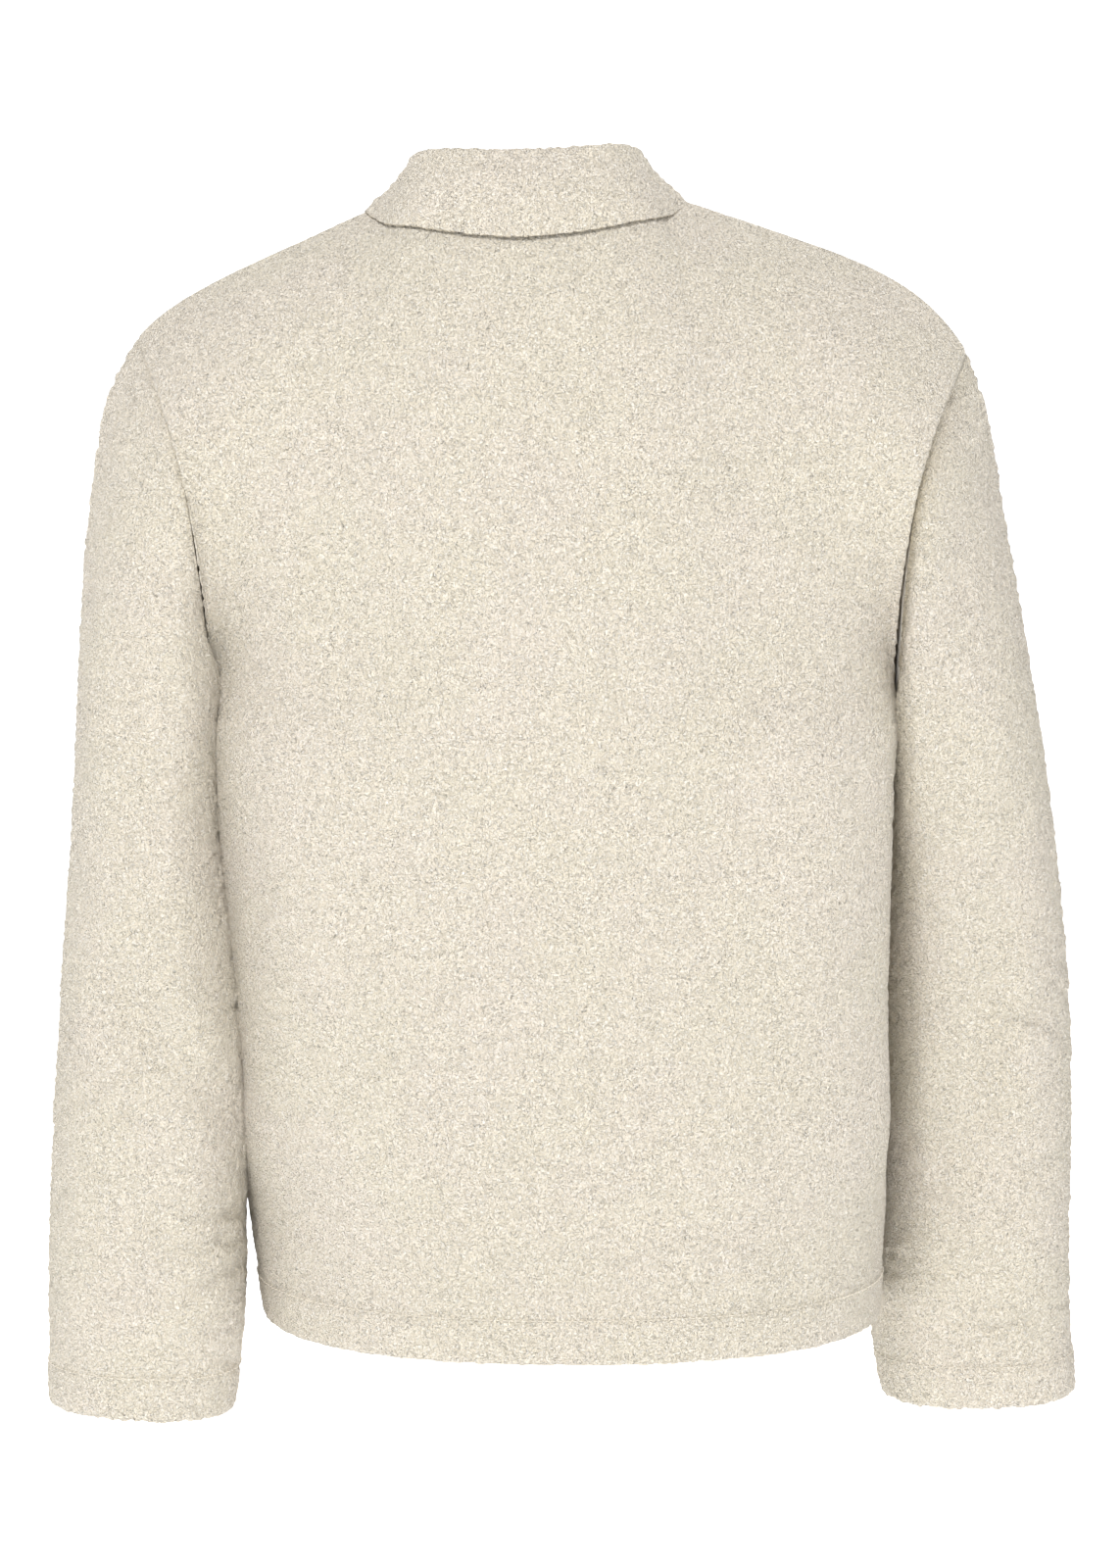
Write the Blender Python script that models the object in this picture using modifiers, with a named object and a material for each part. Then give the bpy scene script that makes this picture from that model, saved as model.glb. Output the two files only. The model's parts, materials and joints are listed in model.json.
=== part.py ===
"""A borg rugby shirt, worn and hollow, with nobody in it.

The pieces are a back, a front, two low-set sleeves, a turned-down collar, a
placket of two strips and three buttons. Every cloth piece is a wall with the
true thickness of borg, and pieces that are sewn together stand a hair apart
along one shared seam line.

Metres. +X is the wearer's left, -Y the front and +Z up. The origin is the
middle of the line between the two neck points, where the shoulders carry it.
"""

import math
from collections import namedtuple

import bmesh
import bpy
import numpy as np
from mathutils import Vector

# Cloth
WALL = 0.005
HEM_DEPTH = 0.030
HEM_GROOVE = 0.003
HEM_SWELL_OUT = 0.0014
HEM_SWELL_IN = 0.0020
HEM_EDGE = 0.004
HEM_EDGE_INSET = 0.0022
SEAM_GAP = 0.0003
COLLAR_LEAF = 0.0065

# Heights of the body
HEM_Z = -0.690
CHEST_Z = -0.350
SHOULDER_TURN = 0.32
SHOULDER_RISE = 0.07
NECK_TURN = {1: 0.22, -1: 0.13}
NECK_RISE = {1: 0.15, -1: 0.27}
EDGE_PULL = 3.0
UNDERARM_PULL = 9.0
ARMHOLE_EASE = 0.6
SLEEVE_HEAD_SLOPE = 0.9
CORNER_SPREAD = 0.22
CORNER_FADE = 5.0
CORNER_SAMPLES = 9

# Neck opening
NECK_MID_X = 0.0165
NECK_HALF_WIDTH = 0.078
NECK_BACK = 0.052
NECK_FRONT = 0.078
NECK_Z = 0.0026
NECK_TILT = 0.0020
NECK_DROP_BACK = 0.0066
NECK_DROP_FRONT = 0.078
NECK_SHARE = 0.4126

# Placket and buttons
SLIT_COLUMN = 0.0482
SLIT_ROWS = 6
STRIP_THICKNESS = 0.003
STRIP_LAP = 0.004
STRIP_BELOW_SLIT = 0.008
UNDER_STRIP_CLEARANCE = 0.001
BUTTON_SIDES = 16
BUTTON_ROWS = (0.9, 2.7, 4.5)

# Half of a dished button, from the middle of its back to that of its face
Turning = namedtuple("Turning", "radius height")
BUTTON_PROFILE = (
    Turning(0.0000, 0.0000),
    Turning(0.0070, 0.0000),
    Turning(0.0075, 0.0006),
    Turning(0.0075, 0.0020),
    Turning(0.0068, 0.0028),
    Turning(0.0054, 0.0022),
    Turning(0.0000, 0.0020),
)

# Horizontal sections of the body below the armholes, the side seams at mid_y
Section = namedtuple("Section", "z mid_x half_width mid_y back front power")
BODY = (
    Section(-0.690, -0.0118, 0.1915, 0.000, 0.143, 0.138, 2.25),
    Section(-0.620, -0.0083, 0.1980, 0.000, 0.143, 0.138, 2.3),
    Section(-0.480, -0.0035, 0.1995, 0.000, 0.141, 0.137, 2.3),
    Section(-0.350, 0.0005, 0.2055, 0.000, 0.138, 0.135, 2.3),
)

# Each shoulder: a straight slope from the neck point that rounds off at its tip
Shoulder = namedtuple("Shoulder", "hand slope tip_x tip_z round_off")
SHOULDERS = (
    Shoulder(1, 0.450, 0.2530, -0.0840, 8.0),
    Shoulder(-1, 0.333, -0.2515, -0.0920, 7.0),
)

# Each armhole, from the shoulder tip down to the underarm
Armhole = namedtuple("Armhole", "hand under_x under_z back front bow")
ARMHOLES = (
    Armhole(1, 0.2060, -0.350, 0.084, 0.078, 3.2),
    Armhole(-1, -0.2050, -0.350, 0.074, 0.088, 3.8),
)

# Rings of each sleeve past the armhole: the end farthest from the body, the
# gap that the near end keeps to the body, the middle in y and half the depth
Ring = namedtuple("Ring", "out_x out_z gap in_z mid_y depth")
SLEEVE_RINGS = {
    1: (
        Ring(0.2715, -0.1205, 0.0018, -0.362, 0.002, 0.085),
        Ring(0.2812, -0.1720, 0.0018, -0.374, 0.006, 0.085),
        Ring(0.2870, -0.2350, 0.0015, -0.388, 0.010, 0.083),
        Ring(0.2898, -0.3000, 0.0012, -0.404, 0.016, 0.080),
        Ring(0.2932, -0.3700, 0.0010, -0.430, 0.024, 0.076),
        Ring(0.2978, -0.4350, 0.0010, -0.468, 0.033, 0.071),
        Ring(0.3024, -0.5050, 0.0010, -0.520, 0.041, 0.066),
        Ring(0.3068, -0.5750, 0.0015, -0.583, 0.045, 0.061),
        Ring(0.3103, -0.6500, 0.0065, -0.652, 0.041, 0.056),
        Ring(0.3115, -0.6980, 0.0165, -0.701, 0.035, 0.052),
        Ring(0.3122, -0.7390, 0.0260, -0.7455, 0.030, 0.049),
    ),
    -1: (
        Ring(-0.2645, -0.1280, 0.0018, -0.362, -0.006, 0.084),
        Ring(-0.2745, -0.1800, 0.0018, -0.374, -0.013, 0.084),
        Ring(-0.2860, -0.2420, 0.0015, -0.388, -0.020, 0.083),
        Ring(-0.2968, -0.3030, 0.0012, -0.404, -0.027, 0.081),
        Ring(-0.3078, -0.3680, 0.0010, -0.430, -0.035, 0.078),
        Ring(-0.3166, -0.4320, 0.0010, -0.468, -0.043, 0.074),
        Ring(-0.3236, -0.5020, 0.0010, -0.520, -0.050, 0.069),
        Ring(-0.3268, -0.5750, 0.0012, -0.583, -0.055, 0.064),
        Ring(-0.3268, -0.6500, 0.0020, -0.652, -0.059, 0.058),
        Ring(-0.3286, -0.7070, 0.0070, -0.707, -0.062, 0.054),
        Ring(-0.3320, -0.7590, 0.0170, -0.761, -0.064, 0.050),
    ),
}
BOW_RINGS = 4
RING_POWER = 0.88

# Soft troughs in the cloth, seen from the back (face 1) or the front (face -1)
Trough = namedtuple("Trough", "piece face x0 z0 x1 z1 width depth")
TROUGHS = (
    Trough("body", 1, 0.124, -0.170, 0.107, -0.385, 0.036, 0.0065),
    Trough("body", 1, 0.107, -0.385, 0.138, -0.610, 0.034, 0.0050),
    Trough("body", 1, -0.100, -0.165, -0.108, -0.380, 0.036, 0.0065),
    Trough("body", 1, -0.108, -0.380, -0.155, -0.610, 0.034, 0.0050),
    Trough("body", -1, 0.118, -0.220, 0.098, -0.440, 0.036, 0.0060),
    Trough("body", -1, -0.094, -0.230, -0.116, -0.470, 0.036, 0.0060),
    Trough("sleeve", 1, 0.272, -0.430, 0.226, -0.550, 0.016, 0.0060),
    Trough("sleeve", 1, -0.283, -0.420, -0.258, -0.585, 0.018, 0.0055),
    Trough("sleeve", -1, 0.236, -0.400, 0.284, -0.480, 0.016, 0.0055),
    Trough("sleeve", -1, -0.240, -0.420, -0.290, -0.500, 0.016, 0.0055),
)

# Collar, by the angle from the middle of the back round to the front
CollarStation = namedtuple("CollarStation", "angle stand lean landing bulge splay")
COLLAR = (
    CollarStation(0.0, 0.0325, 0.0075, 0.0270, 0.0035, 0.0),
    CollarStation(45.0, 0.0310, 0.0100, 0.0260, 0.0025, 0.0),
    CollarStation(90.0, 0.0275, 0.0145, 0.0190, 0.0010, 0.0),
    CollarStation(130.0, 0.0240, 0.0110, 0.0370, 0.0060, 8.0),
    CollarStation(180.0, 0.0170, 0.0060, 0.0720, 0.0070, 32.0),
)
COLLAR_FOLD_RADIUS = 0.0042
COLLAR_REST_GAP = 0.0020
COLLAR_BELOW_SEAM = 0.0055
COLLAR_EDGE_THINNING = 0.0012
STAND_SHARES = (0.0, 0.45, 0.85)
FOLD_TURNS = (0.0, 60.0, 120.0, 180.0)
FALL_SHARES = (0.30, 0.62, 0.90, 1.0)

# How finely each piece is divided
NECK_ANGLES = (0.0, 0.1168, 0.28, 0.44, 0.60, 0.76, 0.90)
SHOULDER_COLUMNS = (0.0, 0.14, 0.28, 0.42, 0.56, 0.69, 0.81, 0.91, 1.0)
SKIRT_ROWS = 11
YOKE_ROWS = 12
SLEEVE_STATIONS = (0.0, 0.35, 1.0, 1.8, 2.7, 3.6, 4.5, 5.4, 6.3, 7.2, 8.0, 8.7, 9.3, 9.8)
REST_SAMPLES = 39
LANDING_COLUMNS = 641
LANDING_ROWS = 240

CREAM = (0.80, 0.75, 0.65, 1.0)
TWILL = (0.78, 0.73, 0.63, 1.0)
HORN = (0.62, 0.54, 0.42, 1.0)


def clear_scene():
    """Start from an empty scene."""
    for thing in list(bpy.data.objects):
        bpy.data.objects.remove(thing, do_unlink=True)


def make_collection(name):
    """A collection of its own for the shirt."""
    collection = bpy.data.collections.new(name)
    bpy.context.scene.collection.children.link(collection)
    return collection


def make_material(name, colour, roughness):
    """A plain Principled finish."""
    material = bpy.data.materials.new(name)
    material.use_nodes = True
    shader = material.node_tree.nodes["Principled BSDF"]
    shader.inputs["Base Color"].default_value = colour
    shader.inputs["Roughness"].default_value = roughness
    shader.inputs["Metallic"].default_value = 0.0
    return material


def unit(vectors):
    """Vectors along the last axis, scaled to length one."""
    length = np.linalg.norm(vectors, axis=-1, keepdims=True)
    return vectors / np.maximum(length, 1e-12)


def smooth_step(low, high, value):
    """0 below low, 1 above high, and a soft S between."""
    part = np.clip((value - low) / (high - low), 0.0, 1.0)
    return part * part * (3.0 - 2.0 * part)


def smooth_lookup(knots, values, at):
    """A smooth curve through the values at the knots, read at the places in at."""
    knots = np.asarray(knots, float)
    values = np.asarray(values, float)
    at = np.asarray(at, float)
    slopes = np.gradient(values, knots, axis=0)
    index = np.clip(np.searchsorted(knots, at, side="right") - 1, 0, len(knots) - 2)
    span = (knots[index + 1] - knots[index])[..., None]
    part = ((at - knots[index])[..., None]) / span
    start, end = values[index], values[index + 1]
    bend_in, bend_out = slopes[index] * span, slopes[index + 1] * span
    return hermite(start, end, bend_in, bend_out, part)


def hermite(start, end, leave, arrive, part):
    """The cubic from start to end with the given end tangents."""
    p2 = part * part
    p3 = p2 * part
    return (
        (2 * p3 - 3 * p2 + 1) * start
        + (p3 - 2 * p2 + part) * leave
        + (3 * p2 - 2 * p3) * end
        + (p3 - p2) * arrive
    )


def for_hand(table, hand):
    """The row of a two-row table that belongs to one hand."""
    return next(row for row in table if row.hand == hand)


def body_columns():
    """Shares across a panel, -1 at the right seam and 1 at the left one."""
    neck = [NECK_SHARE * share for share in NECK_ANGLES]
    shoulder = [NECK_SHARE + (1.0 - NECK_SHARE) * share for share in SHOULDER_COLUMNS]
    half = neck + shoulder
    return np.array([-share for share in reversed(half[1:])] + half)


def skirt(face, across, height):
    """The body below the armholes: a rounded rectangle at every height."""
    table = np.array(BODY)
    values = smooth_lookup(table[:, 0], table[:, 1:], height)[:, None, :]
    mid_x, half_width, mid_y, back, front, power = np.moveaxis(values, -1, 0)
    sideways = np.sin(0.5 * math.pi * across)[None, :]
    bulge = (1.0 - np.minimum(np.abs(sideways), 1.0) ** power) ** (1.0 / power)
    depth = back if face > 0 else front
    x = mid_x + half_width * sideways
    y = mid_y + face * depth * bulge
    z = np.broadcast_to(height[:, None], x.shape)
    return np.stack([x, y, z], axis=-1)


def neckline(angle):
    """The neck seam by its angle from the middle of the back, + to the left."""
    back = np.cos(angle) >= 0.0
    reach = np.where(back, NECK_BACK, NECK_FRONT) * np.cos(angle)
    drop = np.where(back, NECK_DROP_BACK, NECK_DROP_FRONT) * np.cos(angle) ** 2
    x = NECK_MID_X + NECK_HALF_WIDTH * np.sin(angle)
    z = NECK_Z - NECK_TILT * np.sin(angle) - drop
    return np.stack([x, reach, z], axis=-1)


def shoulder_line(share, hand):
    """The shoulder seam from the neck point (share 0) to its tip (share 1)."""
    row = for_hand(SHOULDERS, hand)
    start = neckline(np.array(hand * 0.5 * math.pi))
    x = start[0] + (row.tip_x - start[0]) * share
    run = np.abs(x - start[0])
    extra = row.tip_z - (start[2] - row.slope * abs(row.tip_x - start[0]))
    z = start[2] - row.slope * run + extra * share ** row.round_off
    return np.stack([x, np.zeros_like(x), z], axis=-1)


def top_edge(face, across):
    """The upper edge of a panel: shoulder seam, neckline, shoulder seam."""
    share = np.clip((np.abs(across) - NECK_SHARE) / (1.0 - NECK_SHARE), 0.0, 1.0)
    turn = np.clip(across / NECK_SHARE, -1.0, 1.0) * 0.5 * math.pi
    angle = turn if face > 0 else math.pi - turn
    edge = neckline(angle)
    for hand in (1, -1):
        beyond = across * hand > NECK_SHARE
        edge[beyond] = shoulder_line(share[beyond], hand)
    return edge


def armhole_climb(rise):
    """How far up an armhole a share of its rows comes, quicker at first."""
    return ARMHOLE_EASE * np.sin(0.5 * math.pi * rise) + (1.0 - ARMHOLE_EASE) * rise


def armhole(face, hand, rise):
    """The armhole seam of one panel, from the underarm (rise 0) to the tip."""
    row = for_hand(ARMHOLES, hand)
    tip = for_hand(SHOULDERS, hand)
    climb = armhole_climb(rise)
    depth = row.back if face > 0 else row.front
    x = row.under_x + (tip.tip_x - row.under_x) * climb ** row.bow
    y = face * depth * np.sin(math.pi * rise)
    z = row.under_z + (tip.tip_z - row.under_z) * climb
    return np.stack([x, y, z], axis=-1)


def armhole_inward(face, hand, rise):
    """The way through the cloth at the armhole: towards the armhole's middle."""
    row = for_hand(ARMHOLES, hand)
    tip = for_hand(SHOULDERS, hand)
    seam = armhole(face, hand, rise)
    middle = np.array([0.0, 0.0, 0.5 * (row.under_z + tip.tip_z)])
    inward = middle - seam
    inward[..., 0] = 0.0
    return unit(inward)


def armhole_outward(face, hand, rise):
    """The way across the armhole seam, from the body to the sleeve."""
    step = 1e-4
    along = armhole(face, hand, np.minimum(rise + step, 1.0)) - armhole(
        face, hand, np.maximum(rise - step, 0.0)
    )
    across = unit(np.cross(along, armhole_inward(face, hand, rise)))
    across *= np.sign(across[..., :1]) * hand
    across[np.asarray(rise) <= 0.0] = (hand, 0.0, 0.0)
    across[np.asarray(rise) >= 1.0] = unit(np.array([hand, 0.0, -SLEEVE_HEAD_SLOPE]))
    return across


def yoke(face, across, rise):
    """The body above the underarm: cubics from the chest to the top edge,
    drawn sideways to the armholes near the sides."""
    step = 0.002
    base = skirt(face, across, np.array([CHEST_Z]))[0]
    below = skirt(face, across, np.array([CHEST_Z - step]))[0]
    top = top_edge(face, across)
    height = (top[:, 2] - CHEST_Z)[:, None]
    leave = (base - below) / step * height
    turn = np.minimum(np.abs(across) / NECK_SHARE, 1.0) * 0.5 * math.pi
    at_neck = (np.cos(turn) ** 2)[:, None]
    over = np.array([0.0, -face * SHOULDER_TURN, SHOULDER_RISE])
    into_neck = np.array([0.0, -face * NECK_TURN[face], NECK_RISE[face]])
    arrive = at_neck * into_neck + (1.0 - at_neck) * over
    # The corner at the neck point fades out below the top edge
    spread = np.linspace(-CORNER_SPREAD, CORNER_SPREAD, CORNER_SAMPLES)
    soft = [top_edge(face, np.clip(across + shift, -1.0, 1.0)) for shift in spread]
    soft = np.average(soft, axis=0, weights=1.2 - np.abs(spread) / CORNER_SPREAD)
    part = rise[:, None, None]
    form = hermite(base[None], soft[None], leave[None], arrive[None], part)
    form = form + (top - soft)[None] * part ** CORNER_FADE
    late = UNDERARM_PULL * (1.0 - rise) ** 2
    power = EDGE_PULL + late[:, None] * np.array([0.0, 1.0, 1.0])
    for hand in (1, -1):
        edge = 0 if hand < 0 else -1
        shift = armhole(face, hand, rise) - form[:, edge]
        pull = np.clip(across * hand, 0.0, 1.0)[None, :, None] ** power[:, None, :]
        form = form + pull * shift[:, None, :]
    return form


def body_heights():
    """Rows of the body below the armholes, closer together at the hem."""
    top = HEM_Z + HEM_DEPTH
    hem = [HEM_Z, HEM_Z + HEM_EDGE, top - HEM_GROOVE, top]
    plain = np.linspace(top + HEM_EDGE, CHEST_Z, SKIRT_ROWS)
    return np.concatenate([hem, plain])


def panel_form(face, across, rise):
    """A whole panel, hem to top, as a grid of points."""
    lower = skirt(face, across, body_heights())
    upper = yoke(face, across, rise[1:])
    return np.concatenate([lower, upper], axis=0)


def grid_normals(points, wrap):
    """Unit normals of a grid, by differences along rows and columns."""
    down = np.gradient(points, axis=0)
    if wrap:
        around = 0.5 * (np.roll(points, -1, axis=1) - np.roll(points, 1, axis=1))
    else:
        around = np.gradient(points, axis=1)
    return unit(np.cross(around, down))


def troughs(points, normals, piece, face):
    """Press the soft folds of one piece into its points."""
    x, z = points[..., 0], points[..., 2]
    sunk = np.zeros(x.shape)
    for row in TROUGHS:
        if row.piece != piece:
            continue
        run = np.array([row.x1 - row.x0, row.z1 - row.z0])
        along = ((x - row.x0) * run[0] + (z - row.z0) * run[1]) / (run @ run)
        along = np.clip(along, 0.0, 1.0)
        off = np.hypot(x - row.x0 - along * run[0], z - row.z0 - along * run[1])
        facing = smooth_step(0.1, 0.5, row.face * normals[..., 1])
        sunk += row.depth * np.exp(-((off / row.width) ** 2)) * facing
    return points - normals * sunk[..., None]


def hem_swell(distance):
    """Extra cloth, outwards and inwards, at a distance above a turned edge."""
    inside = distance < HEM_DEPTH - 0.5 * HEM_GROOVE
    outward = np.where(inside, HEM_SWELL_OUT, 0.0)
    inward = np.where(inside, HEM_SWELL_IN, 0.0)
    edge = distance < 0.5 * HEM_EDGE
    outward = np.where(edge, HEM_SWELL_OUT - HEM_EDGE_INSET, outward)
    inward = np.where(edge, HEM_SWELL_IN - HEM_EDGE_INSET, inward)
    return outward, inward


def panel_walls(face):
    """The outer and inner points of the back (face 1) or front (face -1)."""
    across = body_columns()
    rise = np.linspace(0.0, 1.0, YOKE_ROWS + 1)
    heights = body_heights()
    form = panel_form(face, across, rise)
    normals = grid_normals(form, wrap=False) * -face
    side = np.abs(across) > 0.999
    normals[: len(heights), side, 1] = 0.0
    normals = unit(normals)
    form = troughs(form, normals, "body", face)
    outward = np.zeros(form.shape[:2])
    inward = np.full(form.shape[:2], WALL)
    out_swell, in_swell = hem_swell(heights - HEM_Z)
    outward[: len(heights)] += out_swell[:, None]
    inward[: len(heights)] += in_swell[:, None]
    outer = form + normals * outward[..., None]
    inner = form - normals * inward[..., None]
    # The shoulder seam and the neckline end straight downwards
    top = top_edge(face, across)
    outer[-1] = top
    inner[-1] = top - np.array([0.0, 0.0, WALL])
    # The armholes end towards the armhole's middle
    first = len(heights) - 1
    for hand, column in ((1, -1), (-1, 0)):
        seam = armhole(face, hand, rise)
        seam = seam - armhole_outward(face, hand, rise) * 0.5 * SEAM_GAP
        outer[first:, column] = seam
        inner[first:, column] = seam + armhole_inward(face, hand, rise) * WALL
    # Front and back stand half a gap from the side and shoulder seams
    half_gap = np.array([0.0, face * 0.5 * SEAM_GAP, 0.0])
    beyond_neck = np.abs(across) > NECK_SHARE - 1e-6
    for wall in (outer, inner):
        wall[: first + 1, 0] += half_gap
        wall[: first + 1, -1] += half_gap
        wall[-1, beyond_neck] += half_gap
    return outer, inner


def rest_on_body(ring, hand):
    """The near end of a sleeve's ring, set so that the ring clears the body by
    its gap wherever the two come closest."""
    table = np.array(BODY)
    section = Section(ring.in_z, *smooth_lookup(table[:, 0], table[:, 1:], ring.in_z))
    away = np.linspace(-0.95, 0.95, REST_SAMPLES)
    y = ring.mid_y + ring.depth * away
    depth = np.where(y > 0.0, section.back, section.front)
    share = np.maximum(1.0 - np.abs(y / depth) ** section.power, 0.0)
    body = hand * section.mid_x + section.half_width * share ** (1.0 / section.power)
    squareness = 2.0 / RING_POWER
    rounding = 1.0 - (1.0 - np.abs(away) ** squareness) ** (1.0 / squareness)
    near = float(body.max())
    for _ in range(5):
        half = 0.5 * (abs(ring.out_x) - near)
        near = float(np.max(body - half * rounding)) + ring.gap
    return hand * near


def sleeve_table(hand, face):
    """A sleeve's rings from the armhole down: both ends, middle and depth."""
    row = for_hand(ARMHOLES, hand)
    tip = for_hand(SHOULDERS, hand)
    depth = row.back if face > 0 else row.front
    rows = [(tip.tip_x, tip.tip_z, row.under_x, row.under_z, 0.0, depth)]
    for ring in SLEEVE_RINGS[hand]:
        near = rest_on_body(ring, hand)
        rows.append((ring.out_x, ring.out_z, near, ring.in_z, ring.mid_y, ring.depth))
    return np.array(rows)


def sleeve_ring(hand, station, rise, face):
    """One half of a sleeve's ring; station 0 is the armhole."""
    row = for_hand(ARMHOLES, hand)
    table = sleeve_table(hand, face)
    values = smooth_lookup(np.arange(len(table)), table, station)[:, None, :]
    out_x, out_z, in_x, in_z, mid_y, half_depth = np.moveaxis(values, -1, 0)
    armhole_like = 1.0 - smooth_step(0.0, BOW_RINGS, station)[:, None]
    bow_climb = armhole_climb(rise)
    turn = np.cos(math.pi * rise)
    round_climb = 0.5 * (1.0 - np.sign(turn) * np.abs(turn) ** RING_POWER)
    climb_x = armhole_like * bow_climb ** row.bow + (1.0 - armhole_like) * round_climb
    climb_z = armhole_like * bow_climb + (1.0 - armhole_like) * round_climb
    side = np.abs(np.sin(math.pi * rise))
    side = side ** (armhole_like + (1.0 - armhole_like) * RING_POWER)
    x = in_x + (out_x - in_x) * climb_x
    y = mid_y + face * half_depth * side
    z = in_z + (out_z - in_z) * climb_z
    return np.stack([x, y, z], axis=-1)


def sleeve_stations(hand):
    """Places along a sleeve, with rows of their own at the turned cuff."""
    table = np.array(SLEEVE_RINGS[hand])
    last = float(len(table))
    step = abs(table[-1, 1] - table[-2, 1])
    cuff = [last - HEM_DEPTH / step, last - (HEM_DEPTH - HEM_GROOVE) / step]
    edge = [last - HEM_EDGE / step, last]
    return np.concatenate([SLEEVE_STATIONS, cuff, edge])


def sleeve_walls(hand):
    """The outer and inner points of one sleeve, as rings from armhole to cuff."""
    rise = np.linspace(0.0, 1.0, YOKE_ROWS + 1)
    stations = sleeve_stations(hand)
    back = sleeve_ring(hand, stations, rise, 1)
    front = sleeve_ring(hand, stations, rise[::-1], -1)
    form = np.concatenate([back[:, :-1], front[:, :-1]], axis=1)
    normals = grid_normals(form, wrap=True)
    centre = form.mean(axis=1, keepdims=True)
    normals *= np.sign(np.sum(normals * (form - centre), axis=-1, keepdims=True).mean())
    form = troughs(form, normals, "sleeve", 0)
    outward = np.zeros(form.shape[:2])
    inward = np.full(form.shape[:2], WALL)
    table = np.array(SLEEVE_RINGS[hand])
    step = abs(table[-1, 1] - table[-2, 1])
    distance = (len(table) - stations) * step
    out_swell, in_swell = hem_swell(np.where(stations > len(table) - 1.01, distance, 1.0))
    outer = form + normals * (outward + out_swell[:, None])[..., None]
    inner = form - normals * (inward + in_swell[:, None])[..., None]
    edge_rise = np.concatenate([rise[:-1], rise[::-1][:-1]])
    count = len(rise) - 1
    for face, chosen in ((1, slice(0, count)), (-1, slice(count, 2 * count))):
        seam = armhole(face, hand, edge_rise[chosen])
        seam = seam + armhole_outward(face, hand, edge_rise[chosen]) * 0.5 * SEAM_GAP
        outer[0, chosen] = seam
        inner[0, chosen] = seam + armhole_inward(face, hand, edge_rise[chosen]) * WALL
    return outer, inner


def wall_object(name, outer, inner, wrap, material, collection, keep=None):
    """A closed wall between two grids, open where keep says no cell stands."""
    rows, columns = outer.shape[:2]
    index = np.arange(rows * columns).reshape(rows, columns)
    if wrap:
        index = np.concatenate([index, index[:, :1]], axis=1)
    cells = np.stack(
        [index[:-1, :-1], index[:-1, 1:], index[1:, 1:], index[1:, :-1]], axis=-1
    )
    if keep is not None:
        cells = cells[keep]
    cells = cells.reshape(-1, 4)
    inside = cells[:, ::-1] + rows * columns
    starts = cells.reshape(-1)
    ends = np.roll(cells, -1, axis=1).reshape(-1)
    edges = set(zip(starts.tolist(), ends.tolist()))
    offset = rows * columns
    rims = [(b, a, a + offset, b + offset) for a, b in edges if (b, a) not in edges]
    rims.sort()
    points = np.concatenate([outer.reshape(-1, 3), inner.reshape(-1, 3)])
    faces = cells.tolist() + inside.tolist() + rims
    mesh = bpy.data.meshes.new(name)
    mesh.from_pydata(points.tolist(), [], faces)
    tidy = bmesh.new()
    tidy.from_mesh(mesh)
    loose = [vertex for vertex in tidy.verts if not vertex.link_faces]
    bmesh.ops.delete(tidy, geom=loose, context="VERTS")
    bmesh.ops.triangulate(tidy, faces=tidy.faces[:])
    bmesh.ops.recalc_face_normals(tidy, faces=tidy.faces[:])
    tidy.to_mesh(mesh)
    tidy.free()
    return link_object(name, mesh, material, collection)


def link_object(name, mesh, material, collection):
    """Give a mesh its object, finish and collection."""
    mesh.materials.append(material)
    mesh.shade_smooth()
    mesh.set_sharp_from_angle(angle=math.radians(50.0))
    thing = bpy.data.objects.new(name, mesh)
    collection.objects.link(thing)
    return thing


def slit_cells(across):
    """Cells of the front that stand, all but the slit below the neck."""
    rows = len(body_heights()) + YOKE_ROWS - 1
    keep = np.ones((rows, len(across) - 1), bool)
    middle = 0.5 * (across[:-1] + across[1:])
    keep[-SLIT_ROWS:, np.abs(middle) < SLIT_COLUMN] = False
    return keep


def collar_landing(angles, lengths, splays):
    """Where the fall's edge rests: points of the body at given distances from
    the neck seam, out from it or splayed, and the cloth's normals there."""
    across = np.linspace(-0.8, 0.8, LANDING_COLUMNS)
    rise = np.linspace(0.6, 1.0, LANDING_ROWS)
    points, normals = [], []
    for face in (1, -1):
        form = yoke(face, across, rise)
        points.append(form.reshape(-1, 3))
        normals.append((grid_normals(form, wrap=False) * -face).reshape(-1, 3))
    points, normals = np.concatenate(points), np.concatenate(normals)
    found, facing = [], []
    for angle, length, splay in zip(angles, lengths, splays):
        seam = neckline(np.array(angle))
        heading = angle - math.copysign(splay, angle)
        out = np.array([math.sin(heading), math.cos(heading)])
        away = points - seam
        sideways = away[:, 0] * out[1] - away[:, 1] * out[0]
        ahead = away[:, 0] * out[0] + away[:, 1] * out[1]
        miss = np.abs(np.linalg.norm(away, axis=1) - length)
        miss = miss + np.where(ahead > 0.0, 0.0, 1.0) + 2.0 * np.abs(sideways)
        best = int(np.argmin(miss))
        found.append(points[best])
        facing.append(normals[best])
    return np.array(found), unit(np.array(facing))


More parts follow.
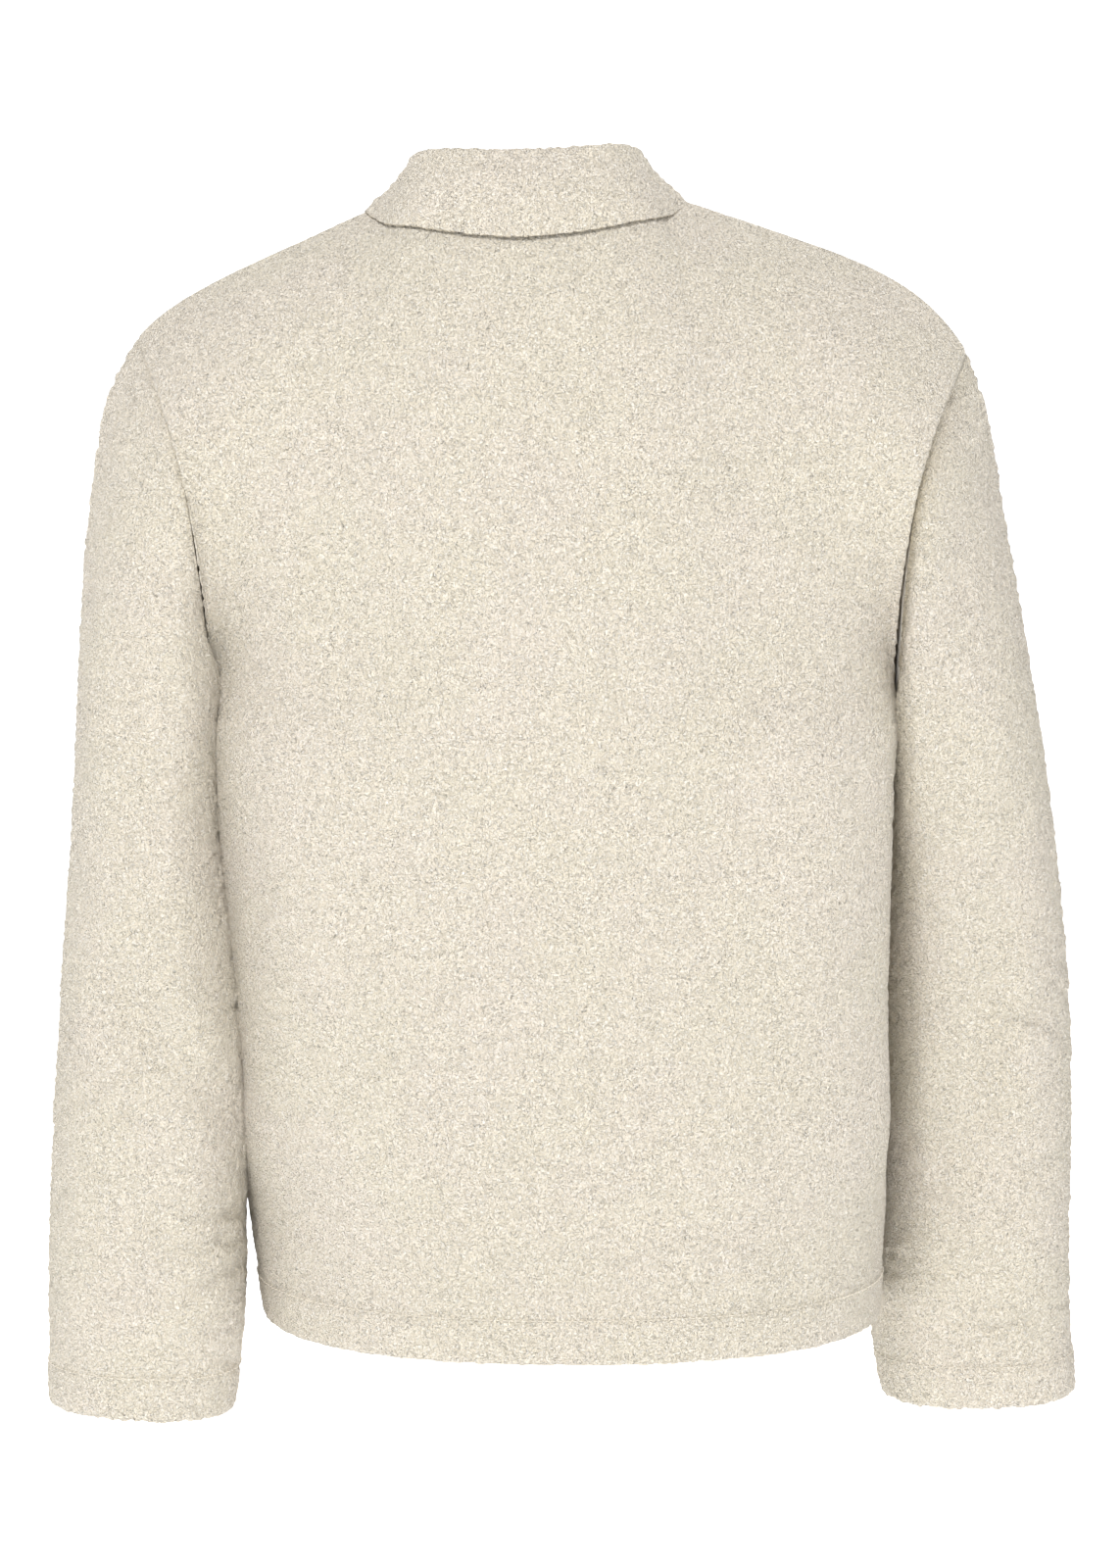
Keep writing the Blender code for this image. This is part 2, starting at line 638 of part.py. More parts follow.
def collar_walls():
    """The folded collar: a stand inside the neck and a fall outside it."""
    shares = np.array(NECK_ANGLES + (1.0,)) * 0.5 * math.pi
    left = np.concatenate([shares, math.pi - shares[-2:0:-1]])
    angles = np.concatenate([-left[:0:-1], left])
    table = np.array(COLLAR)
    values = smooth_lookup(np.radians(table[:, 0]), table[:, 1:], np.abs(angles))
    stand, lean, landing, bulge, splay = values.T
    seam = neckline(angles)
    out = np.stack([np.sin(angles), np.cos(angles), np.zeros_like(angles)], axis=-1)
    up = np.array([0.0, 0.0, 1.0])
    rest, rest_normal = collar_landing(angles, landing, np.radians(splay))
    edge = rest + rest_normal * (0.5 * COLLAR_LEAF + COLLAR_REST_GAP)
    inset = SEAM_GAP + 0.5 * COLLAR_LEAF
    foot = seam - out * inset - up * COLLAR_BELOW_SEAM
    apex = seam - out * (inset + lean)[:, None] + up * (stand - 0.5 * COLLAR_LEAF)[:, None]
    rows = []
    for share in STAND_SHARES:
        rows.append(foot + (apex - up * COLLAR_FOLD_RADIUS - foot) * share)
    centre = apex + out * COLLAR_FOLD_RADIUS - up * COLLAR_FOLD_RADIUS
    for turn in FOLD_TURNS:
        swing = math.radians(turn)
        rows.append(
            centre
            - out * COLLAR_FOLD_RADIUS * math.cos(swing)
            + up * COLLAR_FOLD_RADIUS * math.sin(swing)
        )
    shoulder = rows[-1]
    for share in FALL_SHARES:
        lift = (4.0 * share * (1.0 - share) * bulge)[:, None]
        rows.append(shoulder + (edge - shoulder) * share + (out + up) * lift)
    form = np.stack(rows, axis=0)
    normals = grid_normals(form, wrap=False)
    normals *= np.sign(np.sum(normals[-2] * out))
    half = np.full(form.shape[0], 0.5 * COLLAR_LEAF)
    half[-1] -= COLLAR_EDGE_THINNING
    outer = form + normals * half[:, None, None]
    inner = form - normals * half[:, None, None]
    return outer, inner


def strip_walls(lower, upper, lap, below, short):
    """A placket strip between two heights off the front panel's own points. It
    laps the slit's sides, runs on below the slit and stops short of the neck."""
    outer, inner = panel_walls(-1)
    middle = outer.shape[1] // 2
    chosen = outer[-SLIT_ROWS - 1:, middle - 2: middle + 3]
    normals = unit(chosen - inner[-SLIT_ROWS - 1:, middle - 2: middle + 3])
    normals[-1] = normals[-2]
    ground = chosen[:, 1:4].copy()
    ground[:, 0] += unit(chosen[:, 0] - chosen[:, 1]) * lap
    ground[:, 2] += unit(chosen[:, 4] - chosen[:, 3]) * lap
    ground[0] -= unit(ground[1] - ground[0]) * below
    ground[-1] -= unit(ground[-1] - ground[-2]) * short
    normals = normals[:, 1:4]
    return ground + normals * upper, ground + normals * lower


def button(name, place, facing, material, collection):
    """A dished round button, turned from its profile and set on the strip."""
    mesh = bpy.data.meshes.new(name)
    points = [(turning.radius, 0.0, turning.height) for turning in BUTTON_PROFILE]
    mesh.from_pydata(points, [(step, step + 1) for step in range(len(points) - 1)], [])
    thing = link_object(name, mesh, material, collection)
    turn = thing.modifiers.new("turn", "SCREW")
    turn.axis = "Z"
    turn.steps = BUTTON_SIDES
    turn.render_steps = BUTTON_SIDES
    turn.use_merge_vertices = True
    turn.merge_threshold = 0.0001
    turn.use_normal_calculate = True
    thing.location = Vector(place)
    thing.rotation_euler = Vector(facing).to_track_quat("Z", "Y").to_euler()


def make_panels(collection, borg):
    """The back and the slit front."""
    back = panel_walls(1)
    wall_object("back_panel", back[0], back[1], False, borg, collection)
    front = panel_walls(-1)
    keep = slit_cells(body_columns())
    wall_object("front_panel", front[0], front[1], False, borg, collection, keep)


def make_sleeves(collection, borg):
    """Both sleeves."""
    for name, hand in (("sleeve_left", 1), ("sleeve_right", -1)):
        outer, inner = sleeve_walls(hand)
        wall_object(name, outer, inner, True, borg, collection)


def make_collar(collection, borg):
    """The turned-down collar."""
    outer, inner = collar_walls()
    wall_object("collar", outer, inner, False, borg, collection)


def make_placket(collection, twill, horn):
    """The two strips of the neck opening and the buttons on them."""
    clear_of_collar = COLLAR_BELOW_SEAM + UNDER_STRIP_CLEARANCE
    under = strip_walls(-WALL, 0.0, -SEAM_GAP, -SEAM_GAP, clear_of_collar)
    wall_object("placket_under", under[0], under[1], False, twill, collection)
    off = 2.0 * SEAM_GAP
    outer = strip_walls(off, off + STRIP_THICKNESS, STRIP_LAP, STRIP_BELOW_SLIT, 0.0)
    wall_object("placket_outer", outer[0], outer[1], False, twill, collection)
    line, inside = outer[0][:, 1], outer[1][:, 1]
    for number, row in enumerate(BUTTON_ROWS, start=1):
        low, share = int(row), row % 1.0
        place = line[low] * (1.0 - share) + line[low + 1] * share
        facing = unit(line[low] - inside[low])
        place = place + facing * 2.0 * SEAM_GAP
        button(f"button_{number}", place, facing, horn, collection)


def main():
    """Build the whole shirt."""
    clear_scene()
    shirt = make_collection("borg_rugby_shirt")
    borg = make_material("cream_borg", CREAM, 0.95)
    twill = make_material("cream_twill", TWILL, 0.85)
    horn = make_material("horn", HORN, 0.45)
    make_panels(shirt, borg)
    make_sleeves(shirt, borg)
    make_collar(shirt, borg)
    make_placket(shirt, twill, horn)


main()
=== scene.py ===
"""The looks of a borg rugby shirt, worn but empty, with nobody in it.

Every packed cloth solid is replaced by a finer closed shell on the same form. The
shell's outside has the curly pile and the creases, its edges are turned and sewn,
and its inside is the plain knit that the pile grows from.

Metres. +X is the wearer's left, -Y the front and +Z up. The camera stands behind.
"""

import json
import logging
import math
from collections.abc import Callable
from dataclasses import astuple, dataclass, field, replace
from enum import Enum

import bpy
import numpy as np
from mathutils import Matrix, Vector

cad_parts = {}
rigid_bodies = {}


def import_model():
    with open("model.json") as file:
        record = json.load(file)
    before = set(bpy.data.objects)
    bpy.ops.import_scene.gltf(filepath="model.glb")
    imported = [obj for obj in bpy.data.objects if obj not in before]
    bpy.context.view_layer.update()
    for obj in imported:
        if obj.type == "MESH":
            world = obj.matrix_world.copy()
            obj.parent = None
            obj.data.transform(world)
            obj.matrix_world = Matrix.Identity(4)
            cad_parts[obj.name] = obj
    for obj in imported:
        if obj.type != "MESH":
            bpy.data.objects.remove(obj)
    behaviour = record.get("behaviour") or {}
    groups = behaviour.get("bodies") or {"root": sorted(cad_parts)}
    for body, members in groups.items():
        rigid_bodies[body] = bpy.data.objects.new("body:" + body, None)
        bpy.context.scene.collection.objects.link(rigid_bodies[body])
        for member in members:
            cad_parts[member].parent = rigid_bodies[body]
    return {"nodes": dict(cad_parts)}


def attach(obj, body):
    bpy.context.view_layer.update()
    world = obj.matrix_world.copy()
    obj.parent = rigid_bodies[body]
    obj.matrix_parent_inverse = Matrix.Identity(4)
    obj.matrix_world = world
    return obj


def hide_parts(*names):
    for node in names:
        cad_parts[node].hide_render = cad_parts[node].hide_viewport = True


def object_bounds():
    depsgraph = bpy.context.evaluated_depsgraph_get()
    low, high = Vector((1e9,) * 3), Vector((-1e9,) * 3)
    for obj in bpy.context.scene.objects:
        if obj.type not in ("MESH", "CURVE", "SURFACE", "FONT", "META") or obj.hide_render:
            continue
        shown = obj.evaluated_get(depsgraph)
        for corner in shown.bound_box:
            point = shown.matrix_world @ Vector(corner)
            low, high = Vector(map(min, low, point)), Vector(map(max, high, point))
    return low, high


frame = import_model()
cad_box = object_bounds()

log = logging.getLogger("borg_rugby_shirt")

Grid = np.ndarray
Thing = bpy.types.Object
Finish = bpy.types.Material
Socket = bpy.types.NodeSocket
HALF_TURN = math.pi
QUARTER_TURN = 0.5 * math.pi
UP = np.array([0.0, 0.0, 1.0])
COARSE = 4
EDGE_TURNS = np.radians(np.linspace(0.0, 165.0, 9)[1:])
SLEEVE_ROUGHNESS = 1.7


class Face(Enum):
    """The two sides of the body, by the sign of Y."""

    BACK = 1
    FRONT = -1


class Hand(Enum):
    """The wearer's two sides, by the sign of X."""

    LEFT = 1
    RIGHT = -1


class Side(Enum):
    """Which material of a shell a face takes."""

    PILE = 0
    BACKING = 1


def unit(vectors: Grid) -> Grid:
    """Scale vectors to length one: v / |v|, along the last axis."""
    length = np.linalg.norm(vectors, axis=-1, keepdims=True)
    return vectors / np.maximum(length, 1e-12)


def smooth_step(low: float, high: float, value: Grid) -> Grid:
    """A soft S from 0 at low to 1 at high: 3 t squared less 2 t cubed."""
    part = np.clip((value - low) / (high - low), 0.0, 1.0)
    return part * part * (3.0 - 2.0 * part)


def bell(off: Grid, width: float) -> Grid:
    """A bell that is 1 in its middle: e to the power of minus (off / width) squared."""
    return np.exp(-((off / width) ** 2))


def hermite(start: Grid, end: Grid, leave: Grid, arrive: Grid, part: Grid) -> Grid:
    """The cubic between two points that has given tangents at both.

    Args:
        start: Where it begins.
        end: Where it ends.
        leave: Its tangent at the start.
        arrive: Its tangent at the end.
        part: How far along it is read, 0 to 1.

    Returns:
        The points of the cubic.
    """
    p2 = part * part
    p3 = p2 * part
    from_ends = (2 * p3 - 3 * p2 + 1) * start + (3 * p2 - 2 * p3) * end
    return from_ends + (p3 - 2 * p2 + part) * leave + (p3 - p2) * arrive


def smooth_lookup(knots: Grid, values: Grid, at: Grid) -> Grid:
    """Read a smooth curve that passes through a value at each knot.

    Args:
        knots: Rising places of the values.
        values: One value, or one row of values, for each knot.
        at: The places to read.

    Returns:
        A cubic through the neighbouring values, with averaged slopes.
    """
    knots, values, at = (np.asarray(given, float) for given in (knots, values, at))
    slopes = np.gradient(values, knots, axis=0)
    index = np.clip(np.searchsorted(knots, at, side="right") - 1, 0, len(knots) - 2)
    span = (knots[index + 1] - knots[index])[..., None]
    part = (at - knots[index])[..., None] / span
    leave, arrive = slopes[index] * span, slopes[index + 1] * span
    return hermite(values[index], values[index + 1], leave, arrive, part)


def grid_normals(points: Grid, wrap: bool) -> Grid:
    """Unit normals of a grid: the step along a row crossed with the step down it.

    Args:
        points: Rows by columns of points.
        wrap: Whether the last column is followed by the first.

    Returns:
        A normal for each point.
    """
    down = np.gradient(points, axis=0)
    if wrap:
        around = 0.5 * (np.roll(points, -1, axis=1) - np.roll(points, 1, axis=1))
    else:
        around = np.gradient(points, axis=1)
    return unit(np.cross(around, down))


def steps_along(points: Grid, axis: int) -> Grid:
    """Distance run from the first row or column of a grid to each of its points."""
    lengths = np.linalg.norm(np.diff(points, axis=axis), axis=-1)
    start = np.zeros_like(np.take(lengths, [0], axis=axis))
    return np.cumsum(np.concatenate([start, lengths], axis=axis), axis=axis)


def read_along(run: Grid, path: Grid, places: Grid) -> Grid:
    """Points, or normals, of a path at given distances along it, by straight lines."""
    return np.stack([np.interp(places, run, path[:, axis]) for axis in range(3)], axis=-1)


def from_borders(points: Grid, axis: int) -> Grid:
    """Distance run to each point from the nearer end of its row or column."""
    run = steps_along(points, axis)
    return np.minimum(run, np.take(run, [-1], axis=axis) - run)


def even_steps(dense: Grid, points: Grid, count: int) -> Grid:
    """Parameter values that lie equal distances apart along a curve.

    Args:
        dense: Closely spaced parameter values.
        points: The curve's points there.
        count: How many steps to cut it into.

    Returns:
        count + 1 parameter values.
    """
    run = steps_along(points, 0)
    return np.interp(np.linspace(0.0, run[-1], count + 1), run, dense)


@dataclass(frozen=True)
class Scatter:
    """Noise fixed by a seed, worked out from the whole-numbered cells of a lattice."""

    seed: int

    def cell_values(self, cells: Grid) -> Grid:
        """Three numbers from 0 to 1 for each cell, by mixing its bits with the seed.

        Args:
            cells: Whole-numbered cells, three coordinates each.

        Returns:
            As many numbers, in the same shape.
        """
        x, y, z = (cells[..., axis].astype(np.int64).astype(np.uint32) for axis in range(3))
        mixed = x * np.uint32(73856093) ^ y * np.uint32(19349663) ^ z * np.uint32(83492791)
        found = []
        for channel in range(3):
            bits = mixed ^ np.uint32((self.seed * 3 + channel) * 374761393 % 2**32)
            bits = (bits ^ (bits >> np.uint32(16))) * np.uint32(0x7FEB352D)
            bits = (bits ^ (bits >> np.uint32(15))) * np.uint32(0x846CA68B)
            bits = bits ^ (bits >> np.uint32(16))
            found.append(bits.astype(float) / 2**32)
        return np.stack(found, axis=-1)

    def waves(self, points: Grid, size: float) -> Grid:
        """Soft noise from -1 to 1: cell values blended between a cell's 8 corners.

        Args:
            points: Where to read it.
            size: The width of a cell in metres.

        Returns:
            One number for each point.
        """
        place = points / size
        base = np.floor(place)
        part = place - base
        part = part * part * (3.0 - 2.0 * part)
        total = np.zeros(points.shape[:-1])
        for corner in np.ndindex(2, 2, 2):
            weight = np.prod(np.where(np.array(corner) == 1, part, 1.0 - part), axis=-1)
            total += weight * self.cell_values(base + np.array(corner))[..., 0]
        return 2.0 * total - 1.0

    def clumps(self, points: Grid, size: float) -> tuple[Grid, Grid]:
        """Round clumps: 1 less the squared distance to the nearest clump's middle.

        Args:
            points: Where to read them.
            size: The usual distance between two clumps in metres.

        Returns:
            The height from 0 to 1, and a number for each clump, 0 to 1.
        """
        place = points / size
        base = np.floor(place)
        nearest = np.full(points.shape[:-1], np.inf)
        owner = np.zeros(points.shape[:-1])
        for shift in np.ndindex(3, 3, 3):
            cell = base + np.array(shift) - 1.0
            jitter = self.cell_values(cell)
            away = np.sum((cell + jitter - place) ** 2, axis=-1)
            closer = away < nearest
            nearest = np.where(closer, away, nearest)
            owner = np.where(closer, jitter[..., 0], owner)
        return np.clip(1.0 - nearest / 0.75, 0.0, 1.0), owner


@dataclass(frozen=True)
class Pile:
    """The curly pile on the outside of the cloth."""

    clump: float = 0.0047
    clump_height: float = 0.00042
    curl: float = 0.0029
    curl_height: float = 0.00018
    drift: float = 0.0110
    drift_height: float = 0.00012
    swell: float = 0.0340
    swell_height: float = 0.00025
    below_face: float = 0.0004
    side_growth: float = 1.8
    scatter: Scatter = Scatter(11)
    calm_start: float = -0.001
    calm_end: float = 0.004

    def calm(self, distance: Grid) -> Grid:
        """How much of the pile stands at a distance from a seam, 0 to 1."""
        return smooth_step(self.calm_start, self.calm_end, distance)

    def rougher(self, times: float) -> "Pile":
        """The same pile with taller clumps and curls."""
        return replace(self, clump_height=self.clump_height * times, curl_height=self.curl_height * times)

    def heights(self, points: Grid, facing: Grid) -> Grid:
        """How far the pile stands from the cloth's mean face at each point, taller
        where the face turns sideways: times 1 + growth (1 - |facing y|) squared.

        Args:
            points: Points of the smooth form.
            facing: The cloth's normals there.

        Returns:
            The height in metres.
        """
        dome, owner = self.scatter.clumps(points, self.clump)
        curls = self.scatter.waves(points, self.curl)
        drifts = self.scatter.waves(points + 1.0, self.drift)
        swells = self.scatter.waves(points + 2.0, self.swell)
        tall = (dome - 0.6) * (0.5 + owner)
        height = self.clump_height * tall + self.curl_height * curls
        growth = 1.0 + self.side_growth * (1.0 - np.abs(facing[..., 1])) ** 2
        height = height * growth + self.drift_height * drifts + self.swell_height * swells
        return height - self.below_face


@dataclass(frozen=True)
class Crease:
    """A soft trough from one point to another with a low ridge along one side.

    The places are X and Z on the body, and on a sleeve the distance round it from
    its outer side, + to the back, and Z. bow bends the line sideways, and ridge_off
    and end_reach count widths: from trough to ridge, and past the line's ends.
    """

    side0: float
    z0: float
    side1: float
    z1: float
    width: float
    depth: float
    ridge: float = 0.3
    bow: float = 0.0
    face: Face = Face.BACK
    ridge_off: float = 1.7
    end_reach: float = 1.5

    def sunk(self, side: Grid, z: Grid) -> Grid:
        """Depth of the trough: a bell across its line, and along it a quarter of the
        depth plus three quarters by a squared half sine.

        Args:
            side: The sideways place of each point.
            z: Its height.

        Returns:
            How far the cloth is pressed in, less where the ridge lifts it.
        """
        run = np.array([self.side1 - self.side0, self.z1 - self.z0])
        length = float(np.hypot(*run))
        ahead, across = run / length, np.array([-run[1], run[0]]) / length
        away_side, away_z = side - self.side0, z - self.z0
        along = (away_side * ahead[0] + away_z * ahead[1]) / length
        held = np.clip(along, 0.0, 1.0)
        off = away_side * across[0] + away_z * across[1]
        off = off - self.bow * np.sin(HALF_TURN * held)
        past = (along - held) * length
        fade = 0.25 + 0.75 * np.sin(HALF_TURN * np.clip(0.12 + 0.76 * held, 0.0, 1.0)) ** 2
        trough = bell(off, self.width)
        ridge = bell(off - self.ridge_off * self.width, self.width)
        ends = bell(past, self.end_reach * self.width)
        return self.depth * fade * ends * (trough - self.ridge * ridge)


@dataclass(frozen=True)
class Neck:
    """The neck seam: an oval that drops to the front, with its middle beside X = 0."""

    mid_x: float = 0.0165
    half_width: float = 0.078
    back: float = 0.052
    front: float = 0.078
    height: float = 0.0026
    tilt: float = 0.0020
    drop_back: float = 0.0066
    drop_front: float = 0.078

    def line(self, angle: Grid) -> Grid:
        """Points of the seam: x by the sine and y by the cosine of the angle.

        Args:
            angle: From the middle of the back, + to the left.

        Returns:
            The points, lowered by the cosine squared.
        """
        behind = np.cos(angle) >= 0.0
        y = np.where(behind, self.back, self.front) * np.cos(angle)
        drop = np.where(behind, self.drop_back, self.drop_front) * np.cos(angle) ** 2
        x = self.mid_x + self.half_width * np.sin(angle)
        z = self.height - self.tilt * np.sin(angle) - drop
        return np.stack([x, y, z], axis=-1)


@dataclass(frozen=True)
class Armhole:
    """One armhole seam and the shoulder seam that ends at its tip."""

    hand: Hand
    slope: float
    tip_x: float
    tip_z: float
    round_off: float
    under_x: float
    under_z: float
    back: float
    front: float
    bow: float
    ease: float = 0.6
    head_slope: float = 0.9

    def climb(self, rise: Grid) -> Grid:
        """How far up a share of the rows comes: part of a sine and part straight."""
        return self.ease * np.sin(QUARTER_TURN * rise) + (1.0 - self.ease) * rise

    def line(self, face: Face, rise: Grid) -> Grid:
        """The seam from the underarm to the tip: z climbs, x by a power of the climb
        and y by a half sine.

        Args:
            face: The back or the front half.
            rise: 0 at the underarm, 1 at the shoulder's tip.

        Returns:
            The points.
        """
        climb = self.climb(rise)
        depth = self.back if face is Face.BACK else self.front
        x = self.under_x + (self.tip_x - self.under_x) * climb**self.bow
        y = face.value * depth * np.sin(HALF_TURN * rise)
        z = self.under_z + (self.tip_z - self.under_z) * climb
        return np.stack([x, y, z], axis=-1)

    def inward(self, face: Face, rise: Grid) -> Grid:
        """The way through the cloth at the seam: towards the armhole's middle."""
        middle = np.array([0.0, 0.0, 0.5 * (self.under_z + self.tip_z)])
        way = middle - self.line(face, rise)
        way[..., 0] = 0.0
        return unit(way)

    def outward(self, face: Face, rise: Grid) -> Grid:
        """The way across the seam, from the body to the sleeve: along x inward."""
        step = 1e-4
        ahead = self.line(face, np.minimum(rise + step, 1.0))
        along = ahead - self.line(face, np.maximum(rise - step, 0.0))
        way = unit(np.cross(along, self.inward(face, rise)))
        way = way * np.sign(way[..., :1]) * self.hand.value
        way[rise <= 0.0] = (self.hand.value, 0.0, 0.0)
        way[rise >= 1.0] = unit(np.array([self.hand.value, 0.0, -self.head_slope]))
        return way

    def shoulder(self, share: Grid, neck: Neck) -> Grid:
        """The shoulder seam: a straight slope from the neck that rounds off at the tip.

        Args:
            share: 0 at the neck point, 1 at the tip.
            neck: The neck that it starts from.

        Returns:
            The points.
        """
        start = neck.line(np.array(self.hand.value * QUARTER_TURN))
        x = start[0] + (self.tip_x - start[0]) * share
        extra = self.tip_z - (start[2] - self.slope * abs(self.tip_x - start[0]))
        z = start[2] - self.slope * np.abs(x - start[0]) + extra * share**self.round_off
        return np.stack([x, np.zeros_like(x), z], axis=-1)


ARMHOLES = {
    Hand.LEFT: Armhole(
        Hand.LEFT, slope=0.450, tip_x=0.2530, tip_z=-0.0840, round_off=8.0,
        under_x=0.2060, under_z=-0.350, back=0.084, front=0.078, bow=3.2,
    ),
    Hand.RIGHT: Armhole(
        Hand.RIGHT, slope=0.333, tip_x=-0.2515, tip_z=-0.0920, round_off=7.0,
        under_x=-0.2050, under_z=-0.350, back=0.074, front=0.088, bow=3.8,
    ),
}


@dataclass(frozen=True)
class Section:
    """A level section of the body: a rounded rectangle with the side seams at y = 0."""

    z: float
    mid_x: float
    half_width: float
    back: float
    front: float
    power: float


@dataclass(frozen=True)
class Cloth:
    """Sizes that all pieces of the cloth share."""

    wall: float = 0.005
    hem_depth: float = 0.030
    hem_out: float = 0.0010
    hem_in: float = 0.0020
    seam_gap: float = 0.0003
    seam_roll: float = 0.0011
    plain_roll: float = 0.0010
    tuck: float = 0.0009
    stitch_inset: float = 0.0016
    groove_depth: float = 0.0006
    groove_width: float = 0.0021

    @property
    def edge_radius(self) -> float:
        """Half the thickness of a turned edge."""
        return 0.5 * (self.wall + self.hem_out + self.hem_in)

    def doubled(self, distance: Grid) -> Grid:
        """1 where an edge is turned up and doubled, to 0 just above that."""
        return 1.0 - smooth_step(-0.001, 0.002, distance - self.hem_depth)

    def turned_lift(self, distance: Grid) -> Grid:
        """Extra height outside at a distance above a turned edge: the fold's swell,
        less the groove that its stitches pull in."""
        swell = self.hem_out * self.doubled(distance)
        off = distance - (self.hem_depth - self.stitch_inset)
        return swell - self.groove_depth * bell(off, self.groove_width)

    def turned_depth(self, distance: Grid) -> Grid:
        """Depth of the inside at a distance above a turned edge."""
        return self.wall + self.hem_in * self.doubled(distance)

    @staticmethod
    def rolled(distance: Grid, radius: float) -> Grid:
        """How far a sewn edge rolls down: a quarter circle that ends at the seam."""
        short = np.clip(1.0 - distance / radius, 0.0, 1.0)
        return radius * (1.0 - np.sqrt(1.0 - short**2))


@dataclass(frozen=True)
class BodyForm:
    """The smooth form of the back and the front, and the seams around them."""

    neck: Neck = Neck()
    armholes: dict = field(default_factory=lambda: ARMHOLES)
    sections: tuple = (
        Section(-0.690, -0.0118, 0.1915, 0.143, 0.138, 2.25),
        Section(-0.620, -0.0083, 0.1980, 0.143, 0.138, 2.3),
        Section(-0.480, -0.0035, 0.1995, 0.141, 0.137, 2.3),
        Section(-0.350, 0.0005, 0.2055, 0.138, 0.135, 2.3),
    )
    neck_share: float = 0.4126
    shoulder_turn: float = 0.32
    shoulder_rise: float = 0.07
    neck_turn: dict = field(default_factory=lambda: {Face.BACK: 0.22, Face.FRONT: 0.13})
    neck_rise: dict = field(default_factory=lambda: {Face.BACK: 0.15, Face.FRONT: 0.27})
    edge_pull: float = 3.0
    underarm_pull: float = 9.0
    corner_spread: float = 0.22
    corner_fade: float = 5.0
    corner_samples: int = 9
    slit_column: float = 0.0482
    slit_rise: float = 0.5

    @property
    def hem_z(self) -> float:
        """Height of the hem."""
        return self.sections[0].z

    @property
    def chest_z(self) -> float:
        """Height of the underarms, where the level sections end."""
        return self.sections[-1].z

    def section_at(self, height: Grid) -> Grid:
        """The sections' columns after z, read smoothly at the given heights."""
        table = np.array([astuple(section) for section in self.sections])
        return smooth_lookup(table[:, 0], table[:, 1:], height)

    def skirt(self, face: Face, across: Grid, height: Grid) -> Grid:
        """The body below the underarms: x by the sine of the share across, and y so
        that |x| and |y|, each over its half size and raised to the power, add to 1.

        Args:
            face: The back or the front.
            across: -1 at the right seam to 1 at the left one.
            height: The rows' heights.

        Returns:
            Rows by columns of points.
        """
        values = self.section_at(height)[:, None, :]
        mid_x, half_width, back, front, power = np.moveaxis(values, -1, 0)
        sideways = np.sin(QUARTER_TURN * across)[None, :]
        bulge = (1.0 - np.minimum(np.abs(sideways), 1.0) ** power) ** (1.0 / power)
        depth = back if face is Face.BACK else front
        x = mid_x + half_width * sideways
        y = face.value * depth * bulge
        return np.stack([x, y, np.broadcast_to(height[:, None], x.shape)], axis=-1)

    def top_edge(self, face: Face, across: Grid) -> Grid:
        """The upper edge of a panel: shoulder seam, neck seam, shoulder seam."""
        share = np.clip((np.abs(across) - self.neck_share) / (1.0 - self.neck_share), 0.0, 1.0)
        turn = np.clip(across / self.neck_share, -1.0, 1.0) * QUARTER_TURN
        angle = turn if face is Face.BACK else HALF_TURN - turn
        edge = self.neck.line(angle)
        for hand, armhole in self.armholes.items():
            beyond = across * hand.value > self.neck_share
            edge[beyond] = armhole.shoulder(share[beyond], self.neck)
        return edge

    def yoke(self, face: Face, across: Grid, rise: Grid) -> Grid:
        """The body above the underarms: cubics from the chest to the top edge, drawn
        sideways to the armholes near the sides.

        Args:
            face: The back or the front.
            across: -1 at the right armhole to 1 at the left one.
            rise: 0 at the chest to 1 at the top edge.

        Returns:
            Rows by columns of points.
        """
        step = 0.002
        base = self.skirt(face, across, np.array([self.chest_z]))[0]
        below = self.skirt(face, across, np.array([self.chest_z - step]))[0]
        top = self.top_edge(face, across)
        leave = (base - below) / step * (top[:, 2] - self.chest_z)[:, None]
        turn = np.minimum(np.abs(across) / self.neck_share, 1.0) * QUARTER_TURN
        at_neck = (np.cos(turn) ** 2)[:, None]
        over = np.array([0.0, -face.value * self.shoulder_turn, self.shoulder_rise])
        into_neck = np.array([0.0, -face.value * self.neck_turn[face], self.neck_rise[face]])
        arrive = at_neck * into_neck + (1.0 - at_neck) * over
        spread = np.linspace(-self.corner_spread, self.corner_spread, self.corner_samples)
        soft = [self.top_edge(face, np.clip(across + shift, -1.0, 1.0)) for shift in spread]
        weights = 1.2 - np.abs(spread) / self.corner_spread
        soft = np.average(soft, axis=0, weights=weights)
        part = rise[:, None, None]
        form = hermite(base[None], soft[None], leave[None], arrive[None], part)
        form = form + (top - soft)[None] * part**self.corner_fade
        late = self.underarm_pull * (1.0 - rise) ** 2
        power = self.edge_pull + late[:, None] * np.array([0.0, 1.0, 1.0])
        for hand, armhole in self.armholes.items():
            edge = 0 if hand is Hand.RIGHT else -1
            shift = armhole.line(face, rise) - form[:, edge]
            near = np.clip(across * hand.value, 0.0, 1.0)[None, :, None]
            form = form + near ** power[:, None, :] * shift[:, None, :]
        return form

    def panel(self, face: Face, across: Grid, height: Grid, rise: Grid) -> Grid:
        """Skirt rows at the given heights, then yoke rows at the given rises."""
        rows = [self.skirt(face, across, height), self.yoke(face, across, rise)]
        return np.concatenate(rows, axis=0)


@dataclass(frozen=True)
class Ring:
    """A ring of a sleeve: its far end, the gap its near end keeps to the body, the
    near end's height, the middle in y and half the depth."""

    out_x: float
    out_z: float
    gap: float
    in_z: float
    mid_y: float
    depth: float


